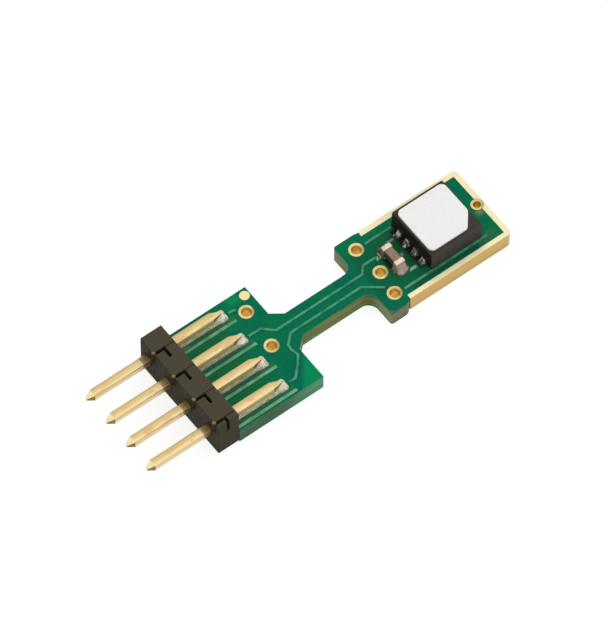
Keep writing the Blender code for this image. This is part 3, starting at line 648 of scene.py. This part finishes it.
@dataclass(frozen=True)
class SolderFinish:
    """Tin solder: softly shining, with grey and brownish flecks."""

    name: str
    light: Colour
    grey: Colour
    flux: Colour
    dark_share: float = 0.5
    stain_share: float = 0.7
    metallic: float = 0.15
    flecks: Grain = Grain(even(6), 3.0, 0.45, 0.62, rough=0.6)
    stains: Grain = Grain(even(3.5), 2.0, 0.56, 0.68)
    relief: Relief = Relief(even(7), 3.0, 0.012 * MM, 0.6)

    def build(self) -> Material:
        """Make the material.

        Returns:
            Flecked solder.
        """
        bench = Bench(self.name)
        flecks = bench.grain(self.flecks)
        colour = bench.mix(bench.math("MULTIPLY", flecks, self.dark_share), self.ground(bench), self.grey)
        stains = bench.math("MULTIPLY", bench.grain(self.stains), self.stain_share)
        colour = bench.mix(stains, colour, self.flux)
        bench.press(self.relief)
        return bench.finish(colour, bench.ramp(flecks, 0.0, 1.0, 0.3, 0.45), self.metallic)

    def ground(self, bench: Bench) -> object:
        """Colour of the solder between its flecks."""
        return self.light


@dataclass(frozen=True)
class PinSolderFinish(SolderFinish):
    """Solder of the pins: painted shade along their sides, painted light round their tips, greenish at its
    foot.
    """

    tip: float = 0.0
    floor: float = 0.0
    dull: Colour = srgb(216, 219, 190)
    foot: Colour = srgb(212, 222, 196)

    def ground(self, bench: Bench) -> Socket:
        """Colour the solder between its flecks.

        Args:
            bench: The material's bench.

        Returns:
            Colour that follows the height and the way to the tip.
        """
        low = bench.ramp(bench.axes[Axis.Z], self.floor + 0.01 * MM, self.floor + 0.04 * MM)
        sides = bench.mix(low, self.foot, self.dull)
        # Painted light brightens the solder towards the pin's tip.
        past = bench.ramp(bench.axes[Axis.X], self.tip - 0.3 * MM, self.tip - 0.02 * MM)
        return bench.mix(past, sides, self.light)


@dataclass(frozen=True)
class FootSolderFinish(SolderFinish):
    """Solder that grows dark towards its foot, with painted highlight specks."""

    floor: float = 0.0
    rise: float = 0.07 * MM
    foot: Colour = srgb(44, 50, 34)
    highlight_speck: Colour = srgb(240, 244, 234)
    highlight_above: float = 0.0
    highlight_specks: Grain = Grain(even(6), 1.0, 0.52, 0.6)

    def ground(self, bench: Bench) -> Socket:
        """Colour the solder between its flecks.

        Args:
            bench: The material's bench.

        Returns:
            Colour that follows the height above the board.
        """
        slope = bench.ramp(bench.axes[Axis.Z], self.floor + 0.4 * self.rise, self.floor + self.rise)
        # Painted highlight specks, thinning up the slope to the share given.
        above = bench.ramp(slope, 0.0, 1.0, 1.0, self.highlight_above)
        share = bench.math("MULTIPLY", bench.grain(self.highlight_specks), above)
        return bench.mix(share, bench.mix(slope, self.foot, self.light), self.highlight_speck)


@dataclass(frozen=True)
class PlasticFinish:
    """Moulded plastic with fine grain, its sides in painted shades and painted highlights on its upright
    chamfers.
    """

    name: str
    top: Colour
    front: Colour
    flank_shade: Colour
    lip_highlight: Colour
    worn: Colour
    fineness: float = 14.0
    roughness: Point = (0.5, 0.66)
    specular: float = 0.3
    lip_from: float = 0.0
    lip_soft: float = 0.15 * MM
    wear: Grain = Grain(even(1.6), 3.0, 0.42, 0.72, 0.0, 0.3)
    relief: Relief = Relief(depth=0.012 * MM, strength=0.6)

    def build(self) -> Material:
        """Make the material.

        Returns:
            Grained plastic with faint cloudy wear, painted shade on its sides and painted highlights on
            its chamfers.
        """
        bench = Bench(self.name)
        # Faces that look along X and along Y are painted in their own shades.
        colour = bench.mix(bench.sideways(Axis.X), self.top, self.front)
        colour = bench.mix(bench.sideways(Axis.Y), colour, self.flank_shade)
        colour = bench.mix(bench.grain(self.wear), colour, self.worn)
        # Painted highlight on the upright chamfers that face -X and -Y.
        slant = math.sqrt(0.5)
        chamfer = bench.ramp(bench.toward(-slant, -slant, 0), 0.96, 0.99)
        upper = bench.ramp(bench.axes[Axis.Z], self.lip_from - self.lip_soft, self.lip_from)
        colour = bench.mix(bench.math("MULTIPLY", chamfer, upper), colour, self.lip_highlight)
        grain = bench.cloud(even(self.fineness), 3.0)
        bench.press(self.relief, grain)
        return bench.finish(colour, bench.ramp(grain, 0.35, 0.65, *self.roughness), 0.0, self.specular)


@dataclass(frozen=True)
class TwoToneFinish:
    """Surface whose shade and roughness follow one grain."""

    name: str
    base: Colour
    shade: Colour
    grain: Grain
    gloss: Point
    metallic: float = 0.0
    specular: float = 0.5
    flank_shade: Optional[Colour] = None
    relief: Optional[Relief] = None

    def build(self) -> Material:
        """Make the material.

        Returns:
            Surface of two shades, with painted shade on its flanks and its relief where it has them.
        """
        bench = Bench(self.name)
        grain = bench.grain(self.grain)
        colour = bench.mix(grain, self.base, self.shade)
        # Painted shade on the faces that look along X.
        if self.flank_shade:
            colour = bench.mix(bench.sideways(Axis.X), colour, self.flank_shade)
        if self.relief:
            bench.press(self.relief, grain)
        gloss = bench.ramp(grain, 0.0, 1.0, *self.gloss)
        return bench.finish(colour, gloss, self.metallic, self.specular)


@dataclass(frozen=True)
class MembraneFinish(TwoToneFinish):
    """White filter membrane: matte, with a faint fibre texture."""

    name: str = "filter_membrane"
    base: Colour = srgb(242, 242, 241)
    shade: Colour = srgb(237, 237, 236)
    grain: Grain = Grain(even(9), 4.0, 0.35, 0.7, rough=0.7)
    gloss: Point = (0.8, 0.95)
    specular: float = 0.1
    relief: Relief = Relief(depth=0.006 * MM, strength=0.25)


@dataclass(frozen=True)
class CeramicFinish(TwoToneFinish):
    """Fired ceramic of the capacitor's body, speckled brown, with painted shade on its flanks."""

    name: str = "capacitor_ceramic"
    base: Colour = srgb(144, 126, 106)
    shade: Colour = srgb(112, 92, 74)
    flank_shade: Colour = srgb(78, 66, 50)
    grain: Grain = Grain(even(12), 3.0, 0.45, 0.7)
    gloss: Point = (0.45, 0.6)
    specular: float = 0.4


@dataclass(frozen=True)
class TinFinish(TwoToneFinish):
    """Tinned metal of terminals, satin, faintly pink where copper shows through."""

    base: Colour = srgb(240, 215, 197)
    shade: Colour = srgb(218, 186, 170)
    grain: Grain = Grain(even(6), 3.0, 0.42, 0.66)
    gloss: Point = (0.3, 0.45)
    metallic: float = 0.55
    relief: Relief = Relief(even(14), 2.0, 0.006 * MM, 0.6)


@dataclass(frozen=True)
class TrackFinish(TwoToneFinish):
    """Lacquer over the edge of a copper track, where it runs thin and pale."""

    name: str = "track_lacquer"
    base: Colour = srgb(66, 152, 118)
    shade: Colour = srgb(32, 124, 92)
    grain: Grain = Grain(even(2.2), 2.0, 0.4, 0.66)
    gloss: Point = (0.3, 0.42)
    specular: float = 0.25


@dataclass
class Fillet:
    """Solder that climbs a block and runs out in a hollow slope on the board."""

    low: Point
    high: Point
    floor: float
    height: float
    reach_low: Point
    reach_high: Point
    hollow: float = 1.7
    rings: int = 7
    sides: int = 12
    lump: float = 0.12
    seed: float = 0.0
    ripples: float = 6.0
    swells: float = 3.0
    swell_share: float = 1.5
    swell_seed: float = 3.0

    def outline(self) -> List[Tuple[Vector, Vector]]:
        """Points round the block with the way out of each, from a square's sides and its corner arcs.

        Returns:
            Pairs of place and outward direction.
        """
        centre = Vector(((self.low[0] + self.high[0]) / 2, (self.low[1] + self.high[1]) / 2))
        half = Vector(((self.high[0] - self.low[0]) / 2, (self.high[1] - self.low[1]) / 2))
        corners = [Vector((half.x * x, half.y * y)) for x, y in ((1, 1), (-1, 1), (-1, -1), (1, -1))]
        pairs = []
        for number, corner in enumerate(corners):
            after = corners[(number + 1) % len(corners)]
            for step in range(2 * self.sides):
                angle = math.radians(90) * (number + min(step / self.sides, 1.0))
                spot = corner.lerp(after, max(step - self.sides, 0) / self.sides)
                pairs.append((centre + spot, Vector((math.cos(angle), math.sin(angle)))))
        return pairs

    def reach(self, way: Vector) -> float:
        """Find how far the solder runs out in one direction.

        Args:
            way: The direction, of unit length.

        Returns:
            Distance from the block to the foot of the slope.
        """
        along = self.reach_high[0] if way.x > 0 else self.reach_low[0]
        across = self.reach_high[1] if way.y > 0 else self.reach_low[1]
        return 1 / math.hypot(way.x / along, way.y / across)

    def build(self, name: str) -> Object:
        """Make the mesh, ring by ring outward from the block.

        Args:
            name: Name of the piece.

        Returns:
            The new piece.
        """
        bm = bmesh.new()
        pairs = self.outline()
        bmesh.ops.create_circle(bm, segments=len(pairs), radius=MM)
        ring = list(bm.verts)
        edges = list(bm.edges)
        self.settle(ring, pairs, 0.0)
        bmesh.ops.edgeloop_fill(bm, edges=edges)
        for number in range(1, self.rings + 1):
            made = bmesh.ops.extrude_edge_only(bm, edges=edges)["geom"]
            ring = self.matching(ring, [v for v in made if isinstance(v, BMVert)])
            edges = [e for e in made if isinstance(e, bmesh.types.BMEdge)]
            self.settle(ring, pairs, number / self.rings)
        bmesh.ops.edgeloop_fill(bm, edges=edges)
        bmesh.ops.remove_doubles(bm, verts=bm.verts, dist=MERGE)
        bmesh.ops.recalc_face_normals(bm, faces=bm.faces)
        for face in bm.faces:
            face.smooth = True
        return finished(bm, name)

    def matching(self, ring: List[BMVert], made: List[BMVert]) -> List[BMVert]:
        """Put the new vertices in the order of the ring that they came from."""
        linked = set(made)
        return [next(e.other_vert(v) for e in v.link_edges if e.other_vert(v) in linked) for v in ring]

    def settle(self, ring: List[BMVert], pairs: List[Tuple[Vector, Vector]], share: float) -> None:
        """Move one ring to its place on the slope.

        Args:
            ring: Vertices of the ring in order.
            pairs: Place and outward direction of each.
            share: 0 at the block, 1 at the foot of the slope.
        """
        drop = (1 - share) ** self.hollow
        swing = math.sin(math.pi * min(share, 0.5))
        for vert, (place, way) in zip(ring, pairs):
            out = way * self.reach(way) * share
            ripple = self.uneven(place + out, self.seed, self.ripples)
            spot = place + out * (1 + self.lump * ripple * swing)
            swell = self.uneven(spot, self.swell_seed + self.seed, self.swells)
            tall = self.height * (1 + self.swell_share * self.lump * swell)
            vert.co = (spot.x, spot.y, self.floor + tall * drop)

    def uneven(self, spot: Vector, seed: float, count: float) -> float:
        """Noise at one place, with a number of lumps per millimetre."""
        return noise.noise(Vector((spot.x, spot.y, seed)) * count / MM)


def finished(bm: BMesh, name: str) -> Object:
    """Turn a bmesh into an object at the origin.

    Args:
        bm: The mesh, in the module's frame.
        name: Name of the piece.

    Returns:
        The new object.
    """
    mesh = bpy.data.meshes.new(name)
    bm.to_mesh(mesh)
    bm.free()
    obj = bpy.data.objects.new(name, mesh)
    bpy.context.scene.collection.objects.link(obj)
    return obj


def place_piece(obj: Object, material: Material, node: str) -> None:
    """Hand a new piece to the frame.

    Args:
        obj: The piece.
        material: Its finish.
        node: CAD node that it replaces.
    """
    obj.data.materials.append(material)
    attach(obj, "root")
    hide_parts(node)
    LOG.info("built %s for %s", obj.name, node)


def numbered(stem: str, count: int) -> List[str]:
    """Names of a row of equal pieces."""
    return [f"{stem}_{number}" for number in range(1, count + 1)]


@dataclass
class Assembly:
    """Pieces of the module that are finished together."""

    nodes: Dict[str, Object]

    def dress(self, material: Material, *names: str) -> None:
        """Give CAD nodes a finish.

        Args:
            material: The finish.
            names: The nodes to dress.
        """
        for name in names:
            obj = self.nodes[name]
            if not obj.material_slots:
                obj.data.materials.append(material)
            for slot in obj.material_slots:
                slot.material = material
            LOG.info("dressed %s in %s", name, material.name)

    def recut(self, node: str, name: str, move: Callable[[Vector], Vector],
              material: Material, slot: str) -> None:
        """Build a piece with a CAD node's faces and some of its points in other places.

        Args:
            node: Name of the CAD node, which stays as it is.
            name: Name of the new piece.
            move: Gives the new place of a point.
            material: Finish of the new piece.
            slot: The record's material slot; not used.
        """
        bm = bmesh.new()
        bm.from_mesh(self.nodes[node].data)
        bmesh.ops.remove_doubles(bm, verts=bm.verts, dist=MERGE)
        for vert in bm.verts:
            vert.co = move(vert.co)
        for face in bm.faces:
            face.material_index = 0
        place_piece(finished(bm, name), material, node)

    def solder(self, name: str, node: str, material: Material, **shape: object) -> None:
        """Build a solder slope in place of a CAD node, and on that node's floor.

        Args:
            name: Name of the new piece.
            node: The CAD node that it replaces.
            material: The solder finish.
            shape: Sizes of the slope.
        """
        fillet = Fillet(floor=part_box(node)[0].z, **shape)
        place_piece(fillet.build(name), material, node)


def rim_shift(y: float) -> float:
    """Find how far the rims of the sensor head move at one width.

    Args:
        y: Width at which a point lies.

    Returns:
        The way along Y.
    """
    return sum(shift for low, high, shift in RIM_SHIFTS if low < y < high)


@dataclass
class Board(Assembly):
    """Circuit board with its tracks, strips and alignment mark."""

    neck: Point = (-0.88 * MM, 2.85 * MM)
    neck_shift: float = 0.04 * MM
    neck_edge: float = 0.58 * MM
    fillet_end: float = 1.03 * MM
    wing_edge: float = 1.845 * MM
    wing_round: Point = (3.7 * MM, 4.0 * MM)
    tongue_edge: float = 1.7 * MM
    tongue_margin: float = 0.01 * MM
    near_start: float = 3.8 * MM

    def build(self) -> None:
        """Dress the board and what lies in its lacquer."""
        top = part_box("circuit_board")[1].z
        strips = numbered("copper_strip", PINS)
        lacquer = BoardFinish(top, self.neck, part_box(strips[0])[1].x,
                              tuple(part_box(name)[1].y for name in strips))
        self.recut("circuit_board", "board_panel", self.fit, lacquer.build(), "green_lacquer")
        self.dress(TrackFinish().build(), "track_clock", "track_data", "track_supply")
        thin = TrackFinish("thin_track_lacquer", srgb(78, 150, 116), srgb(54, 122, 90))
        self.dress(thin.build(), "track_sensor_supply", "track_sensor_ground")
        strip = TrackFinish("strip_lacquer", srgb(106, 168, 136), srgb(78, 144, 110))
        self.dress(strip.build(), *strips)
        mark = GoldFinish("mark_gold", top, pale=srgb(244, 228, 158), blush=srgb(246, 226, 166))
        self.dress(mark.build(), "alignment_mark")

    def fit(self, place: Vector) -> Vector:
        """Move the neck and the far side of the head a little towards +Y.

        Args:
            place: A point of the board.

        Returns:
            Its new place.
        """
        shift = 0.0
        if self.neck[0] <= place.x <= self.neck[1] and abs(place.y) <= self.fillet_end:
            fade = (self.fillet_end - abs(place.y)) / (self.fillet_end - self.neck_edge)
            shift = self.neck_shift * min(fade, 1.0)
        elif place.x > (self.wing_round[1] if place.y > 0 else self.near_start):
            shift = rim_shift(place.y)
        elif place.x > self.wing_round[0] and place.y > self.tongue_edge - self.tongue_margin:
            shift = FAR_SHIFT * (self.wing_edge - place.y) / (self.wing_edge - self.tongue_edge)
        return place + Vector((0, shift, 0))


@dataclass
class GoldWork(Assembly):
    """Plated edge of the head and the plated holes."""

    shade_past: float = 0.13 * MM

    def build(self) -> None:
        """Dress the plating and the holes."""
        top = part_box("edge_plating")[1].z
        gold = GoldFinish("edge_gold", top).build()
        self.recut("edge_plating", "head_plating", self.fit, gold, "gold")
        for name in sorted(n for n in self.nodes if "_via" in n):
            middle = sum(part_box(name), Vector()) / 2
            # Painted shade on each hole's ring starts a little past its middle.
            past = SHADE_WAY[0] * middle.x + SHADE_WAY[1] * middle.y + self.shade_past
            bore = GoldFinish(f"{name}_gold", top, pale=srgb(228, 216, 150), blush=srgb(214, 196, 126),
                              warm=srgb(230, 182, 50), rosy=srgb(220, 166, 38), shade_from=past,
                              roughness=(0.3, 0.4), streaks=Grain(even(4), 3.0, 0.4, 0.62),
                              skin=0.02 * MM)
            self.dress(bore.build(), name)

    def fit(self, place: Vector) -> Vector:
        """Move the far side of the plating towards +Y, and make its near lip narrower."""
        return place + Vector((0, rim_shift(place.y), 0))


@dataclass
class PinHeader(Assembly):
    """Housing, pins, their pads and the solder that holds them."""

    lip_height: float = 0.12 * MM
    inset: float = 0.02 * MM
    before: float = 0.015 * MM
    beside: float = 0.045 * MM
    beyond: float = 0.19 * MM
    height: float = 0.16 * MM
    set_back: float = 0.3 * MM

    def build(self) -> None:
        """Dress the header and build its solder."""
        front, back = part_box("header_housing")
        # The housing's front and flanks are painted shade, its upright chamfers a painted highlight.
        housing = PlasticFinish("housing_plastic", top=srgb(75, 68, 55), front=srgb(48, 44, 27),
                                flank_shade=srgb(57, 51, 40), lip_highlight=srgb(168, 156, 118), worn=srgb(80, 74, 60),
                                specular=0.05, lip_from=back.z - self.lip_height)
        self.dress(housing.build(), "header_housing")
        pins = numbered("header_pin", PINS)
        low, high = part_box(pins[0])
        gold = PinFinish(low, high, low.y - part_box(pins[1])[0].y, front.x, back.x)
        self.dress(gold.build(), *pins)
        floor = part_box("pin_solder_1")[0].z
        solder = PinSolderFinish("pin_solder", light=srgb(222, 223, 204), grey=srgb(136, 130, 108),
                                 flux=srgb(168, 134, 112), stain_share=0.5, tip=high.x,
                                 floor=floor).build()
        rim = srgb(92, 112, 84)
        pad = PinSolderFinish("pad_solder", light=srgb(214, 208, 186), grey=srgb(84, 92, 70),
                              flux=srgb(120, 112, 88), tip=high.x, floor=floor, dull=rim, foot=rim)
        self.dress(pad.build(), *numbered("pin_pad", PINS))
        for number in range(1, PINS + 1):
            self.joint(number, solder)

    def joint(self, number: int, material: Material) -> None:
        """Build the solder round one pin.

        Args:
            number: Number of the pin, from the +Y side.
            material: The solder finish.
        """
        low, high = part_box(f"header_pin_{number}")
        node = f"pin_solder_{number}"
        self.solder(f"pin_joint_{number}", node, material, low=(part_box(node)[0].x + self.inset, low.y),
                    high=(high.x - self.set_back, high.y), height=self.height,
                    reach_low=(self.before, self.beside),
                    reach_high=(self.set_back + self.beyond, self.beside),
                    sides=24, lump=0.3, seed=number * 1.7)


@dataclass
class Sensor(Assembly):
    """Sensor package with its membrane, terminals and solder."""

    out: float = 0.2 * MM
    under: float = 0.01 * MM
    beside: float = 0.06 * MM
    inset: float = 0.03 * MM
    height: float = 0.19 * MM
    far_side: float = 1.2 * MM
    widening: float = 0.06 * MM
    trim_from: float = 0.3 * MM
    trim_over: float = 0.6 * MM
    trim_shift: float = 0.045 * MM

    def build(self) -> None:
        """Dress the sensor and build its solder."""
        # The package's front and flanks are painted shade, its chamfers a faint painted highlight.
        body = PlasticFinish("sensor_moulding", top=srgb(60, 55, 50), front=srgb(30, 25, 16),
                             flank_shade=srgb(64, 58, 53), lip_highlight=srgb(74, 68, 62), worn=srgb(66, 60, 54),
                             fineness=18.0, roughness=(0.45, 0.6), specular=0.1)
        self.recut("sensor_package", "package_moulding", self.fit, body.build(), "moulding")
        self.recut("filter_membrane", "membrane_panel", self.trim, MembraneFinish().build(), "membrane")
        tin = TinFinish("terminal_tin", srgb(224, 214, 204), srgb(170, 150, 140), metallic=0.85)
        self.dress(tin.build(), *numbered("sensor_terminal", TERMINALS), "sensor_die_pad")
        grey = srgb(96, 100, 112)
        die = PlasticFinish("die_silicon", top=grey, front=grey, flank_shade=grey, lip_highlight=grey,
                            worn=srgb(120, 122, 130), roughness=(0.15, 0.25), specular=0.8)
        self.dress(die.build(), "sensor_die")
        solder = FootSolderFinish("terminal_solder", light=srgb(122, 114, 102), grey=srgb(58, 54, 44),
                                  flux=srgb(92, 72, 62), dark_share=0.4, stain_share=0.3, metallic=0.2,
                                  floor=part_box("sensor_solder_1")[0].z, foot=srgb(34, 36, 26),
                                  highlight_above=1.0).build()
        for number in range(1, TERMINALS + 1):
            self.joint(number, solder)

    def fit(self, place: Vector) -> Vector:
        """Move the +Y side of the package outward."""
        return place + Vector((0, self.widening if place.y > self.far_side else 0, 0))

    def trim(self, place: Vector) -> Vector:
        """Move the -Y side of the membrane inward."""
        share = min(max((-place.y - self.trim_from) / self.trim_over, 0.0), 1.0)
        return place + Vector((0, self.trim_shift * share, 0))

    def joint(self, number: int, material: Material) -> None:
        """Build the solder before one terminal.

        Args:
            number: Number of the terminal.
            material: The solder finish.
        """
        low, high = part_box(f"sensor_terminal_{number}")
        reaches = [(self.out, self.beside), (self.under, self.beside)]
        if number > TERMINALS // 2:
            reaches.reverse()
        self.solder(f"terminal_joint_{number}", f"sensor_solder_{number}", material,
                    low=(low.x, low.y + self.inset), high=(high.x, high.y - self.inset),
                    height=self.height, reach_low=reaches[0], reach_high=reaches[1],
                    hollow=1.5, sides=8, lump=0.35, seed=number * 2.3)


@dataclass
class Capacitor(Assembly):
    """Chip capacitor and the solder at its two ends."""

    beside: float = 0.1 * MM
    out: float = 0.3 * MM
    under: float = 0.05 * MM
    height: float = 0.38 * MM
    narrowing: float = 0.875
    step_back: float = 0.0125 * MM

    def build(self) -> None:
        """Build the capacitor and its solder."""
        self.recut("capacitor_body", "capacitor_core", self.fit, CeramicFinish().build(), "ceramic")
        tin = TinFinish("capacitor_tin").build()
        for number in (1, 2):
            self.recut(f"capacitor_end_{number}", f"capacitor_cap_{number}", self.fit, tin, "tin")
        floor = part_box("capacitor_solder_1")[0].z
        for number, light, flux in ((1, srgb(118, 118, 86), srgb(96, 84, 58)),
                                    (2, srgb(166, 142, 134), srgb(120, 94, 84))):
            solder = FootSolderFinish(f"capacitor_solder_{number}", light=light, grey=srgb(104, 86, 74),
                                      flux=flux, metallic=0.3, floor=floor, foot=srgb(58, 66, 42),
                                      highlight_above=0.15)
            self.joint(number, solder.build())

    def fit(self, place: Vector) -> Vector:
        """Make the capacitor narrower about its middle line."""
        low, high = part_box("capacitor_body")
        middle = (low.x + high.x) / 2
        return Vector((middle - self.step_back + (place.x - middle) * self.narrowing, place.y, place.z))

    def joint(self, number: int, material: Material) -> None:
        """Build the solder round one end.

        Args:
            number: 1 for the +Y end, 2 for the -Y end.
            material: The solder finish.
        """
        low, high = (self.fit(corner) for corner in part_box(f"capacitor_end_{number}"))
        reaches = [(self.beside, self.under), (self.beside, self.out)]
        if number == 2:
            reaches.reverse()
        self.solder(f"capacitor_joint_{number}", f"capacitor_solder_{number}", material,
                    low=(low.x, low.y), high=(high.x, high.y), height=self.height,
                    reach_low=reaches[0], reach_high=reaches[1],
                    hollow=2.2, sides=10, lump=0.3, seed=number * 5.1)


@dataclass(frozen=True)
class Lamp:
    """Square softbox, in metres and watts, that faces the module from one way."""

    name: str
    way: Tuple[float, float, float]
    size: float
    power: float
    mirrored: bool
    distance: float = 0.5

    def hang(self) -> None:
        """Hang the lamp."""
        data = bpy.data.lights.new(self.name, "AREA")
        data.shape = "SQUARE"
        data.size = self.size
        data.energy = self.power
        lamp = bpy.data.objects.new(self.name, data)
        direction = Vector(self.way).normalized()
        lamp.location = direction * self.distance
        lamp.rotation_euler = direction.to_track_quat("Z", "Y").to_euler()
        lamp.visible_glossy = self.mirrored
        bpy.context.scene.collection.objects.link(lamp)


@dataclass
class Studio:
    """Floor, light and camera of the photograph."""

    yaw: float = -37.1522
    elevation: float = 58.6527
    roll: float = 0.0572
    distance: float = 276.69 * MM
    shift_right: float = 0.0581 * MM
    shift_up: float = -0.3118 * MM
    focus: Tuple[float, float, float] = (0.1225 * MM, -0.03 * MM, 0.8 * MM)
    lens: float = 424.15
    film: float = 36.0
    clip: Point = (0.01, 5.0)
    floor_size: float = 1.2
    floor_drop: float = 0.002 * MM
    floor_lit: Colour = (0.8, 0.8, 0.8)
    floor_shown: Colour = (0.28, 0.28, 0.28)
    floor_glow: float = 0.82
    sky_level: float = 0.5
    sky_slope: Tuple[float, float, float] = (0.1, -0.12, 0.25)
    lamps: Tuple[Lamp, ...] = (Lamp("top_softbox", (0.3, 0.42, 0.85), 0.56, 0.95, False),
                               Lamp("side_softbox", (0.35, -0.85, 0.45), 0.44, 0.5, True))

    def build(self) -> None:
        """Set the floor, the sky, the lamps and the camera."""
        self.lay_floor()
        self.light_sky()
        for lamp in self.lamps:
            lamp.hang()
        self.stand_camera()

    def lay_floor(self) -> None:
        """White floor that keeps a faint shadow of the module."""
        bm = bmesh.new()
        bmesh.ops.create_grid(bm, x_segments=1, y_segments=1, size=self.floor_size / 2)
        floor = finished(bm, "floor")
        material = bpy.data.materials.new("floor_white")
        material.use_nodes = True
        material.node_tree.nodes.clear()
        wiring = Wiring(material.node_tree)
        lit = wiring.add("ShaderNodeBsdfDiffuse", self.floor_lit)
        glow = wiring.add("ShaderNodeEmission", WHITE, self.floor_glow)
        shown = wiring.add("ShaderNodeBsdfDiffuse", self.floor_shown)
        shown = wiring.add("ShaderNodeAddShader", glow.outputs[0], shown.outputs[0])
        mixed = wiring.add("ShaderNodeMixShader", wiring.seen(), lit.outputs[0], shown.outputs[0])
        wiring.add("ShaderNodeOutputMaterial", mixed.outputs[0])
        floor.data.materials.append(material)
        floor.location.z = -self.floor_drop

    def light_sky(self) -> None:
        """White sky that lights the module softly, a little more from above and from its -Y side."""
        world = bpy.data.worlds.new("studio_sky")
        world.use_nodes = True
        world.node_tree.nodes.clear()
        wiring = Wiring(world.node_tree)
        slope = wiring.dot(wiring.add("ShaderNodeTexCoord").outputs["Generated"], self.sky_slope)
        level = wiring.math("ADD", slope, self.sky_level)
        light = wiring.add("ShaderNodeBackground", WHITE, level)
        white = wiring.add("ShaderNodeBackground", WHITE)
        mixed = wiring.add("ShaderNodeMixShader", wiring.seen(), light.outputs[0], white.outputs[0])
        wiring.add("ShaderNodeOutputWorld", mixed.outputs[0])
        bpy.context.scene.world = world

    def stand_camera(self) -> None:
        """Place the camera as the photograph was taken."""
        data = bpy.data.cameras.new("photo_camera")
        data.sensor_fit = "VERTICAL"
        data.sensor_height = self.film
        data.lens = self.lens
        data.clip_start, data.clip_end = self.clip
        camera = bpy.data.objects.new("photo_camera", data)
        camera.matrix_world = Matrix.Translation(self.focus)
        for angle, axis in ((self.yaw, "Z"), (90 - self.elevation, "X"), (self.roll, "Z")):
            camera.matrix_world = camera.matrix_world @ Matrix.Rotation(math.radians(angle), 4, axis)
        back = Matrix.Translation((-self.shift_right, -self.shift_up, self.distance))
        camera.matrix_world = camera.matrix_world @ back
        bpy.context.scene.collection.objects.link(camera)
        bpy.context.scene.camera = camera


def plain(box: Box) -> List[List[float]]:
    """Corners of a box as lists of numbers."""
    return [list(corner) for corner in box]


def main() -> None:
    """Build every sub-assembly in order, then the studio."""
    logging.basicConfig(level=logging.INFO, format="%(message)s")
    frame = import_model()
    nodes = frame["nodes"]
    for maker in (Board(nodes), GoldWork(nodes), PinHeader(nodes), Sensor(nodes), Capacitor(nodes)):
        maker.build()
        LOG.info("finished %s", type(maker).__name__)
    Studio().build()
    bpy.context.scene.view_settings.view_transform = "Standard"


if __name__ == "__main__":
    main()
